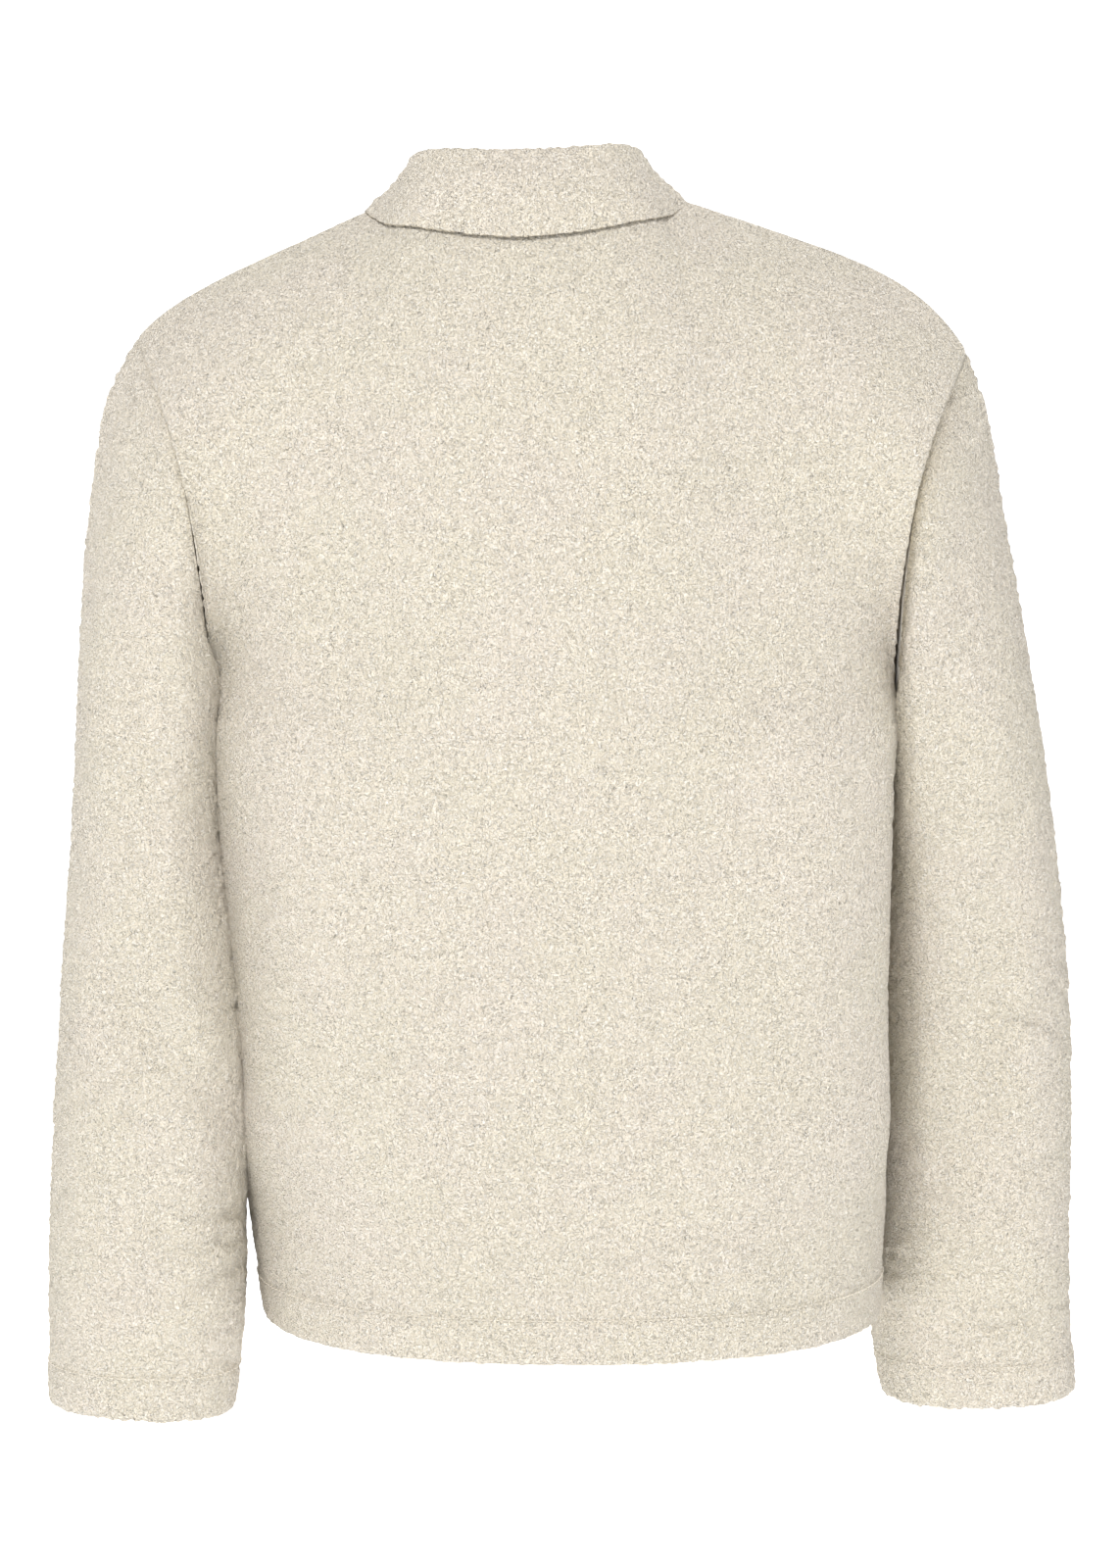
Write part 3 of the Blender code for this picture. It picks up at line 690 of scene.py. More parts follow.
LEFT_RINGS = (
    Ring(0.2715, -0.1205, 0.0018, -0.362, 0.002, 0.085),
    Ring(0.2812, -0.1720, 0.0018, -0.374, 0.006, 0.085),
    Ring(0.2870, -0.2350, 0.0015, -0.388, 0.010, 0.083),
    Ring(0.2898, -0.3000, 0.0012, -0.404, 0.016, 0.080),
    Ring(0.2932, -0.3700, 0.0010, -0.430, 0.024, 0.076),
    Ring(0.2978, -0.4350, 0.0010, -0.468, 0.033, 0.071),
    Ring(0.3024, -0.5050, 0.0010, -0.520, 0.041, 0.066),
    Ring(0.3068, -0.5750, 0.0015, -0.583, 0.045, 0.061),
    Ring(0.3103, -0.6500, 0.0065, -0.652, 0.041, 0.056),
    Ring(0.3115, -0.6980, 0.0165, -0.701, 0.035, 0.052),
    Ring(0.3122, -0.7390, 0.0260, -0.7455, 0.030, 0.049),
)

RIGHT_RINGS = (
    Ring(-0.2645, -0.1280, 0.0018, -0.362, -0.006, 0.084),
    Ring(-0.2745, -0.1800, 0.0018, -0.374, -0.013, 0.084),
    Ring(-0.2860, -0.2420, 0.0015, -0.388, -0.020, 0.083),
    Ring(-0.2968, -0.3030, 0.0012, -0.404, -0.027, 0.081),
    Ring(-0.3078, -0.3680, 0.0010, -0.430, -0.035, 0.078),
    Ring(-0.3166, -0.4320, 0.0010, -0.468, -0.043, 0.074),
    Ring(-0.3236, -0.5020, 0.0010, -0.520, -0.050, 0.069),
    Ring(-0.3268, -0.5750, 0.0012, -0.583, -0.055, 0.064),
    Ring(-0.3268, -0.6500, 0.0020, -0.652, -0.059, 0.058),
    Ring(-0.3286, -0.7070, 0.0070, -0.707, -0.062, 0.054),
    Ring(-0.3320, -0.7590, 0.0170, -0.761, -0.064, 0.050),
)


@dataclass(frozen=True)
class SleeveForm:
    """The smooth form of one sleeve: slanted rings from the armhole to the cuff."""

    hand: Hand
    body: BodyForm
    rings: tuple
    bow_rings: float = 4.0
    ring_power: float = 0.88
    rest_samples: int = 39

    @property
    def hole(self) -> Armhole:
        """The armhole that the sleeve is set into."""
        return self.body.armholes[self.hand]

    @property
    def last(self) -> float:
        """The station of the cuff's end; the armhole is station 0."""
        return float(len(self.rings))

    @property
    def last_step(self) -> float:
        """Distance between the last two rings."""
        return abs(self.rings[-1].out_z - self.rings[-2].out_z)

    def near_end(self, ring: Ring) -> float:
        """The x of a ring's near end, set so that the ring clears the body by its gap
        wherever the two come closest."""
        mid_x, half_width, back, front, power = self.body.section_at(np.array([ring.in_z]))[0]
        away = np.linspace(-0.95, 0.95, self.rest_samples)
        y = ring.mid_y + ring.depth * away
        depth = np.where(y > 0.0, back, front)
        share = np.maximum(1.0 - np.abs(y / depth) ** power, 0.0)
        body = self.hand.value * mid_x + half_width * share ** (1.0 / power)
        squareness = 2.0 / self.ring_power
        rounding = 1.0 - (1.0 - np.abs(away) ** squareness) ** (1.0 / squareness)
        near = float(body.max())
        for _ in range(5):
            half = 0.5 * (abs(ring.out_x) - near)
            near = float(np.max(body - half * rounding)) + ring.gap
        return self.hand.value * near

    def table(self, face: Face) -> Grid:
        """Every station's two ends, middle and half depth, the armhole's first."""
        hole = self.hole
        depth = hole.back if face is Face.BACK else hole.front
        rows = [(hole.tip_x, hole.tip_z, hole.under_x, hole.under_z, 0.0, depth)]
        for ring in self.rings:
            near = self.near_end(ring)
            rows.append((ring.out_x, ring.out_z, near, ring.in_z, ring.mid_y, ring.depth))
        return np.array(rows)

    def half(self, face: Face, station: Grid, rise: Grid) -> Grid:
        """Half of the tube: between its two ends x and z follow the armhole's climb
        near the armhole and a rounded one further down, and y a half sine.

        Args:
            face: The back or the front half.
            station: Places along the sleeve.
            rise: 0 on the body's side, 1 on the outer side.

        Returns:
            Rows by columns of points.
        """
        table = self.table(face)
        values = smooth_lookup(np.arange(len(table)), table, station)[:, None, :]
        out_x, out_z, in_x, in_z, mid_y, half_depth = np.moveaxis(values, -1, 0)
        like_hole = 1.0 - smooth_step(0.0, self.bow_rings, station)[:, None]
        climb = self.hole.climb(rise)
        turn = np.cos(HALF_TURN * rise)
        rounded = 0.5 * (1.0 - np.sign(turn) * np.abs(turn) ** self.ring_power)
        climb_x = like_hole * climb**self.hole.bow + (1.0 - like_hole) * rounded
        climb_z = like_hole * climb + (1.0 - like_hole) * rounded
        side = np.abs(np.sin(HALF_TURN * rise))
        side = side ** (like_hole + (1.0 - like_hole) * self.ring_power)
        x = in_x + (out_x - in_x) * climb_x
        y = mid_y + face.value * half_depth * side
        z = in_z + (out_z - in_z) * climb_z
        return np.stack([x, y, z], axis=-1)

    def tube(self, station: Grid, rise: Grid) -> tuple[Grid, Grid]:
        """The whole tube, and each point's distance round it from the outer side.

        Args:
            station: Places along the sleeve.
            rise: 0 on the body's side to 1 on the outer side.

        Returns:
            Rows by columns of points, and the distances, + to the back.
        """
        back = self.half(Face.BACK, station, rise)
        front = self.half(Face.FRONT, station, rise[::-1])
        back_run = steps_along(back, 1)
        front_run = steps_along(front, 1)
        round_it = np.concatenate([back_run[:, -1:] - back_run[:, :-1], -front_run[:, :-1]], axis=1)
        return np.concatenate([back[:, :-1], front[:, :-1]], axis=1), round_it


def walk(corners: list[tuple[int, int]]) -> Grid:
    """Follow straight lines from corner to corner of a grid, one cell at a time.

    Args:
        corners: Row and column of each corner, back to the first one at the end.

    Returns:
        Row and column of every point on the way.
    """
    legs = []
    for start, end in zip(corners, corners[1:] + corners[:1]):
        count = max(abs(end[0] - start[0]), abs(end[1] - start[1]))
        share = np.arange(count)[:, None] / count
        legs.append(np.array(start) + share * (np.array(end) - np.array(start)))
    return np.rint(np.concatenate(legs)).astype(int)


def quads(index: Grid) -> Grid:
    """The four corners of every cell of a grid of point numbers."""
    return np.stack([index[:-1, :-1], index[:-1, 1:], index[1:, 1:], index[1:, :-1]], axis=-1)


def ring_quads(index: Grid) -> Grid:
    """The cells between neighbouring rings, where each row of numbers is a ring."""
    after = np.roll(index, -1, axis=1)
    return np.stack([index[:-1], index[1:], after[1:], after[:-1]], axis=-1).reshape(-1, 4)


def mesh_object(
    name: str, points: Grid, faces: list, materials: list, sharp: float | None = None
) -> Thing:
    """Put points and faces into a smooth mesh on an object at the origin.

    Args:
        name: Its name.
        points: One row of x, y and z for each point.
        faces: The point numbers of each face.
        materials: Its finishes.
        sharp: The angle in degrees past which an edge is sharp.

    Returns:
        The new object.
    """
    mesh = bpy.data.meshes.new(name)
    mesh.from_pydata(points.tolist(), [], faces)
    for material in materials:
        mesh.materials.append(material)
    mesh.shade_smooth()
    if sharp is not None:
        mesh.set_sharp_from_angle(angle=math.radians(sharp))
    thing = bpy.data.objects.new(name, mesh)
    bpy.context.scene.collection.objects.link(thing)
    return thing


@dataclass
class Shell:
    """A closed shell of cloth: a fine grid outside, and inside a grid of every fourth
    point, joined along their borders by fans of triangles. An optional share per outer
    point is painted shade: how much darker its pile is coloured where shade falls."""

    name: str
    outer: Grid
    inner: Grid
    borders: list
    hollow: Grid | None = None
    wrap: bool = False
    flip: bool = False
    slit: tuple | None = None

    def cells(self, rows: int, columns: int, step: int) -> Grid:
        """The four corners of every cell of a grid, without those of the slit.

        Args:
            rows: Rows of points.
            columns: Columns of points.
            step: How many fine cells one cell spans.

        Returns:
            One row of four point numbers for each cell.
        """
        index = np.arange(rows * columns).reshape(rows, columns)
        if self.wrap:
            index = np.concatenate([index, index[:, :1]], axis=1)
        cells = quads(index)
        stands = np.ones(cells.shape[:2], bool)
        if self.slit is not None:
            bottom, left, right = (value // step for value in self.slit)
            stands[bottom:, left:right] = False
        return cells[stands]

    def rim(self, border: Grid) -> Grid:
        """Triangles that join a border of the outer grid to that of the inner one.

        Args:
            border: Row and column of each outer point on the way round.

        Returns:
            One row of three point numbers for each triangle.
        """
        rows, columns = self.outer.shape[:2]
        fine = border[:, 0] * columns + border[:, 1] % columns
        few = border[::COARSE] // COARSE
        inner_columns = self.inner.shape[1]
        coarse = rows * columns + few[:, 0] * inner_columns + few[:, 1] % inner_columns
        fine = np.append(fine, fine[0])
        after = np.roll(coarse, -1)
        start = np.arange(len(coarse)) * COARSE
        fans = [np.stack([fine[start + k + 1], fine[start + k], coarse], axis=-1) for k in range(COARSE)]
        fans.append(np.stack([coarse, after, fine[start + COARSE]], axis=-1))
        return np.concatenate(fans)

    def build(self, materials: list[Finish]) -> Thing:
        """Make the mesh, with the painted shade of its pile as a point attribute.

        Args:
            materials: One for each Side.

        Returns:
            The new object.
        """
        rows, columns = self.outer.shape[:2]
        outside = self.cells(rows, columns, 1)
        inside = self.cells(*self.inner.shape[:2], COARSE)[:, ::-1] + rows * columns
        rims = np.concatenate([self.rim(border) for border in self.borders])
        if self.flip:
            outside, inside, rims = outside[:, ::-1], inside[:, ::-1], rims[:, ::-1]
        points = np.concatenate([self.outer.reshape(-1, 3), self.inner.reshape(-1, 3)])
        # Painted shade for each point, 0 where none is given.
        hollow = np.zeros(len(points))
        if self.hollow is not None:
            hollow[: self.hollow.size] = self.hollow.ravel()
        used = np.zeros(len(points), bool)
        for faces in (outside, inside, rims):
            used[faces] = True
        place = np.cumsum(used) - 1
        faces = [place[group].tolist() for group in (outside, rims, inside)]
        thing = mesh_object(self.name, points[used], faces[0] + faces[1] + faces[2], materials)
        sides = np.full(len(thing.data.polygons), Side.PILE.value, np.int32)
        sides[len(outside) + len(rims):] = Side.BACKING.value
        thing.data.polygons.foreach_set("material_index", sides)
        attribute = thing.data.attributes.new("hollow", "FLOAT", "POINT")
        attribute.data.foreach_set("value", hollow[used].astype(np.float32))
        return thing


def turned_edge(row: Grid, normal: Grid, away: Grid, cloth: Cloth, turns: Grid) -> tuple[Grid, Grid]:
    """Carry a grid round its turned edge: middle + radius (cos n + sin away).

    Args:
        row: The form's last points before the edge.
        normal: Their normals.
        away: The way towards the edge.
        cloth: The cloth's sizes.
        turns: Angles round the edge, 0 outside.

    Returns:
        Rows of points, and the way that the pile stands at each.
    """
    radius = cloth.edge_radius
    middle = row + normal * (cloth.hem_out - radius)
    angle = turns[:, None, None]
    facing = np.cos(angle) * normal[None] + np.sin(angle) * away[None]
    return middle[None] + radius * facing, facing


@dataclass(frozen=True)
class BorgFinish:
    """Cream borg: matt curly pile, with warm painted shade between its clumps and curls and small painted
    glints.
    """

    warm: tuple = (0.870625, 0.7984, 0.65995, 1.0)
    pale: tuple = (0.875, 0.7944, 0.6767, 1.0)
    # Colour of the painted glints on the curls.
    painted_glint_colour: tuple = (0.98, 0.96, 0.92, 1.0)
    # Colour of painted shade: between clumps, in curls, in grooves and under edges.
    painted_shade_colour: tuple = (0.40, 0.33, 0.20, 1.0)
    clump_scale: float = 560.0
    curl_scale: float = 850.0
    # How strong the painted shade and glints are.
    painted_relief: float = 0.62
    patch_scale: float = 14.0
    clump_bump: float = 0.00070
    curl_bump: float = 0.0029

    def build(self, name: str) -> Finish:
        """The finish as a node tree on Object coordinates.

        Args:
            name: The material's name.

        Returns:
            The new material.
        """
        sheet = NodeSheet(name)
        place = sheet.place()
        bent = sheet.bent(place, self.clump_scale * 1.3, 1.7 / self.clump_scale)
        dome = sheet.ramp(sheet.cells(bent, self.clump_scale), 0.75, 0.10)
        curl = sheet.noise(bent, self.curl_scale, 2.0, roughness=0.55, distortion=0.2)["Fac"]
        patches = sheet.noise(place, self.patch_scale, 3.0)["Fac"]
        hollow = sheet.add("ShaderNodeAttribute", {}, attribute_name="hollow")["Fac"]
        tint = sheet.mix(sheet.ramp(patches, 0.35, 0.68), self.warm, self.pale)
        # Painted shade: darker, warmer colour between the clumps and low in the curls.
        between = sheet.math("MULTIPLY", sheet.ramp(dome, 0.40, 0.0), 0.40 * self.painted_relief)
        painted_curl_shade = sheet.math("MULTIPLY", sheet.ramp(curl, 0.50, 0.34), 0.50 * self.painted_relief)
        dark = sheet.math("MAXIMUM", between, painted_curl_shade)
        shade = sheet.mix(dark, tint, self.painted_shade_colour)
        # Painted highlights: small bright glints on the tops of the curls.
        painted_glint = sheet.math("MULTIPLY", sheet.ramp(curl, 0.52, 0.62), 0.80 * self.painted_relief)
        lit = sheet.mix(painted_glint, shade, self.painted_glint_colour)
        # Painted shade from the point attribute: a darker pile in grooves beside seams and under the
        # collar's edge.
        colour = sheet.mix(sheet.math("MULTIPLY", hollow, 0.9), lit, self.painted_shade_colour)
        first = sheet.bump(dome, 0.80, self.clump_bump)
        second = sheet.bump(curl, 1.0, self.curl_bump, first)
        sheet.set("Roughness", 0.92)
        sheet.set("Specular IOR Level", 0.25)
        sheet.set("Sheen Weight", 0.25)
        sheet.set("Sheen Roughness", 0.45)
        sheet.set("Sheen Tint", (1.0, 0.97, 0.92, 1.0))
        return sheet.dressed(colour, second)


@dataclass(frozen=True)
class BackingFinish:
    """The knit ground inside: fine upright ribs of jersey stitches."""

    yarn: tuple = (0.80, 0.745, 0.64, 1.0)
    # Colour of the painted shade in the gaps between the knit's ribs.
    gap: tuple = (0.50, 0.42, 0.32, 1.0)
    wales_per_metre: float = 620.0
    bump: float = 0.0003

    def build(self, name: str) -> Finish:
        """The finish as a node tree on Object coordinates."""
        sheet = NodeSheet(name)
        split = sheet.split(sheet.bent(sheet.place(), 300.0, 0.0012))
        wales = sheet.wave(split["X"], self.wales_per_metre)
        courses = sheet.wave(split["Z"], self.wales_per_metre * 1.2)
        knit = sheet.blend(wales, 0.65, courses, 0.35)
        sheet.set("Roughness", 0.9)
        sheet.set("Sheen Weight", 0.15)
        # Painted shade: darker colour in the gaps between the ribs.
        colour = sheet.mix(sheet.ramp(knit, 0.45, 0.05), self.yarn, self.gap)
        return sheet.dressed(colour, sheet.bump(knit, 0.7, self.bump))


@dataclass(frozen=True)
class TwillFinish:
    """Cream cotton twill: slanting ribs across the placket's own cloth map."""

    yarn: tuple = (0.83, 0.775, 0.665, 1.0)
    # Colour of the painted shade in the valleys between the ribs.
    valley: tuple = (0.60, 0.525, 0.41, 1.0)
    slub: tuple = (0.90, 0.86, 0.78, 1.0)
    ribs_per_metre: float = 1500.0
    bump: float = 0.00018

    def build(self, name: str) -> Finish:
        """The finish as a node tree on the piece's own UV map, in metres."""
        sheet = NodeSheet(name)
        place = sheet.add("ShaderNodeUVMap", {}, uv_map="cloth")["UV"]
        split = sheet.split(place)
        slant = sheet.math("ADD", split["X"], sheet.math("MULTIPLY", split["Y"], 0.6))
        ribs = sheet.wave(slant, self.ribs_per_metre)
        threads = sheet.wave(split["Y"], self.ribs_per_metre * 1.1)
        weave = sheet.blend(ribs, 0.7, threads, 0.3)
        slubs = sheet.noise(place, 160.0, 3.0)["Fac"]
        # Painted shade: the colour darkens in the valleys between the twill's ribs.
        painted_rib_shade = sheet.math("MULTIPLY", sheet.ramp(weave, 0.55, 0.05), 0.45)
        pale = sheet.math("MULTIPLY", sheet.ramp(slubs, 0.4, 0.75), 0.25)
        colour = sheet.mix(pale, sheet.mix(painted_rib_shade, self.yarn, self.valley), self.slub)
        sheet.set("Roughness", 0.85)
        sheet.set("Sheen Weight", 0.1)
        return sheet.dressed(colour, sheet.bump(weave, 0.7, self.bump))


@dataclass(frozen=True)
class ThreadFinish:
    """Twisted polyester thread, a shade darker than the pile."""

    strand: tuple = (0.80, 0.73, 0.61, 1.0)
    twist_scale: float = 2600.0

    def build(self, name: str) -> Finish:
        """The finish as a node tree on Object coordinates."""
        sheet = NodeSheet(name)
        twist = sheet.noise(sheet.place(), self.twist_scale, 2.0)["Fac"]
        darker = tuple(0.7 * value for value in self.strand[:3]) + (1.0,)
        sheet.set("Roughness", 0.5)
        return sheet.dressed(sheet.mix(twist, self.strand, darker), sheet.bump(twist, 0.5, 0.0001))


@dataclass(frozen=True)
class HornFinish:
    """Satin horn-coloured resin with soft streaks."""

    light: tuple = (0.66, 0.55, 0.40, 1.0)
    dark: tuple = (0.33, 0.22, 0.12, 1.0)

    def build(self, name: str) -> Finish:
        """The finish as a node tree on Object coordinates."""
        sheet = NodeSheet(name)
        place = sheet.place()
        streaks = sheet.noise(place, 210.0, 4.0, distortion=2.0)["Fac"]
        fine = sheet.noise(place, 1400.0, 2.0)["Fac"]
        colour = sheet.mix(sheet.ramp(streaks, 0.35, 0.65), self.dark, self.light)
        sheet.set("Roughness", 0.32)
        sheet.set("Coat Weight", 0.2)
        return sheet.dressed(colour, sheet.bump(fine, 0.15, 0.00004))


@dataclass(frozen=True)
class FloorFinish:
    """Matt white paper, lit through from below."""

    paper: tuple = (0.93, 0.935, 0.94, 1.0)
    glow: float = 0.80

    def build(self, name: str) -> Finish:
        """The finish as a node tree on Object coordinates."""
        sheet = NodeSheet(name)
        sheet.set("Base Color", self.paper)
        sheet.set("Roughness", 1.0)
        sheet.set("Specular IOR Level", 0.0)
        sheet.set("Emission Color", (1.0, 1.0, 1.0, 1.0))
        sheet.set("Emission Strength", self.glow)
        return sheet.material


class NodeSheet:
    """A material's node tree, with short ways to add what the finishes need."""

    def __init__(self, name: str) -> None:
        """Start a material with one Principled shader."""
        self.material = bpy.data.materials.new(name)
        self.material.use_nodes = True
        self.tree = self.material.node_tree
        self.shader = self.tree.nodes["Principled BSDF"]

    def add(self, kind: str, feeds: dict, **settings: object) -> bpy.types.NodeOutputs:
        """Add a node, set its properties, and feed its sockets by name or number.

        Args:
            kind: The node's type.
            feeds: What feeds each socket: another socket, a number or a colour.
            **settings: Its properties.

        Returns:
            The node's outputs.
        """
        node = self.tree.nodes.new(kind)
        for key, value in settings.items():
            setattr(node, key, value)
        for socket, source in feeds.items():
            self.join(source, node.inputs[socket])
        return node.outputs

    def join(self, source: object, socket: Socket) -> None:
        """Link a socket, or set the number or colour, that feeds another socket."""
        if isinstance(source, Socket):
            self.tree.links.new(source, socket)
        else:
            socket.default_value = source

    def set(self, socket: str, value: object) -> None:
        """Give one of the shader's sockets a number or a colour."""
        self.shader.inputs[socket].default_value = value

    def dressed(self, colour: Socket, normal: Socket) -> Finish:
        """The material, once its shader has its colour and its normal."""
        self.join(colour, self.shader.inputs["Base Color"])
        self.join(normal, self.shader.inputs["Normal"])
        return self.material

    def place(self) -> Socket:
        """Object coordinates, in metres."""
        return self.add("ShaderNodeTexCoord", {})["Object"]

    def split(self, place: Socket) -> bpy.types.NodeOutputs:
        """A place's X, Y and Z."""
        return self.add("ShaderNodeSeparateXYZ", {0: place})

    def vector(self, operation: str, feeds: dict) -> Socket:
        """Work out one vector from what is fed."""
        return self.add("ShaderNodeVectorMath", feeds, operation=operation)["Vector"]

    def bent(self, place: Socket, scale: float, reach: float) -> Socket:
        """Places moved aside by noise, so that a pattern on them wanders."""
        wander = self.noise(place, scale, 2.0)["Color"]
        drift = self.vector("SUBTRACT", {0: wander, 1: (0.5, 0.5, 0.5)})
        return self.vector("ADD", {0: place, 1: self.vector("SCALE", {0: drift, "Scale": reach})})

    def noise(
        self, place: Socket, scale: float, detail: float, roughness: float = 0.5, distortion: float = 0.0
    ) -> bpy.types.NodeOutputs:
        """Fractal noise with the given number of cells to a metre: Fac and Color."""
        feeds = {"Vector": place, "Scale": scale, "Detail": detail}
        feeds |= {"Roughness": roughness, "Distortion": distortion}
        return self.add("ShaderNodeTexNoise", feeds)

    def cells(self, place: Socket, scale: float, smoothness: float = 0.35) -> Socket:
        """Distance from the middle of a soft cell, of which so many make a metre."""
        feeds = {"Vector": place, "Scale": scale, "Smoothness": smoothness}
        return self.add("ShaderNodeTexVoronoi", feeds, feature="SMOOTH_F1")["Distance"]

    def ramp(self, value: object, low: float, high: float) -> Socket:
        """A soft S from 0 at low to 1 at high, where low may be the greater."""
        ends = (low, high, 0.0, 1.0) if low < high else (high, low, 1.0, 0.0)
        feeds = dict(zip(("From Min", "From Max", "To Min", "To Max"), ends), Value=value)
        return self.add("ShaderNodeMapRange", feeds, interpolation_type="SMOOTHSTEP")["Result"]

    def math(self, operation: str, first: object, second: object) -> Socket:
        """Work out one number from two."""
        return self.add("ShaderNodeMath", {0: first, 1: second}, operation=operation)["Value"]

    def blend(self, first: object, much: float, second: object, little: float) -> Socket:
        """Add two numbers, each times its share."""
        return self.math("ADD", self.math("MULTIPLY", first, much), self.math("MULTIPLY", second, little))

    def wave(self, value: Socket, per_metre: float) -> Socket:
        """Ribs from 0 to 1: half of one plus the sine of the value in turns."""
        turns = self.math("MULTIPLY", value, per_metre * 2.0 * math.pi)
        sine = self.add("ShaderNodeMath", {0: turns}, operation="SINE")["Value"]
        return self.math("ADD", self.math("MULTIPLY", sine, 0.5), 0.5)

    def mix(self, share: object, first: object, second: object) -> Socket:
        """Blend two colours by a share."""
        feeds = {"Factor": share, 6: first, 7: second}
        return self.add("ShaderNodeMix", feeds, data_type="RGBA")[2]

    def bump(self, height: object, strength: float, distance: float, under: object = None) -> Socket:
        """Bend the normal by a height from 0 to 1 that stands for a distance."""
        feeds = {"Strength": strength, "Distance": distance, "Height": height}
        if under is not None:
            feeds["Normal"] = under
        return self.add("ShaderNodeBump", feeds)["Normal"]


@dataclass(frozen=True)
class Wardrobe:
    """The shirt's finishes, made once."""

    borg: Finish
    backing: Finish
    twill: Finish
    thread: Finish
    horn: Finish

    @classmethod
    def make(cls) -> "Wardrobe":
        """Build every finish."""
        return cls(
            BorgFinish().build("cream_borg"),
            BackingFinish().build("knit_backing"),
            TwillFinish().build("cream_twill"),
            ThreadFinish().build("sewing_thread"),
            HornFinish().build("horn_resin"),
        )


def fasten(piece: Thing, slot: str, *nodes: str) -> None:
    """Fix a piece to the shirt's one body, and hide the solids that it stands for."""
    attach(piece, "root")
    if nodes:
        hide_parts(*nodes)


def beside_sleeve(z: Grid, top: float) -> Grid:
    """A share that is 1 where the sleeves lean on the body, and fades out towards a
    height at the underarm and above the hem."""
    return smooth_step(-0.63, -0.55, z) * (1.0 - smooth_step(top - 0.055, top, z))


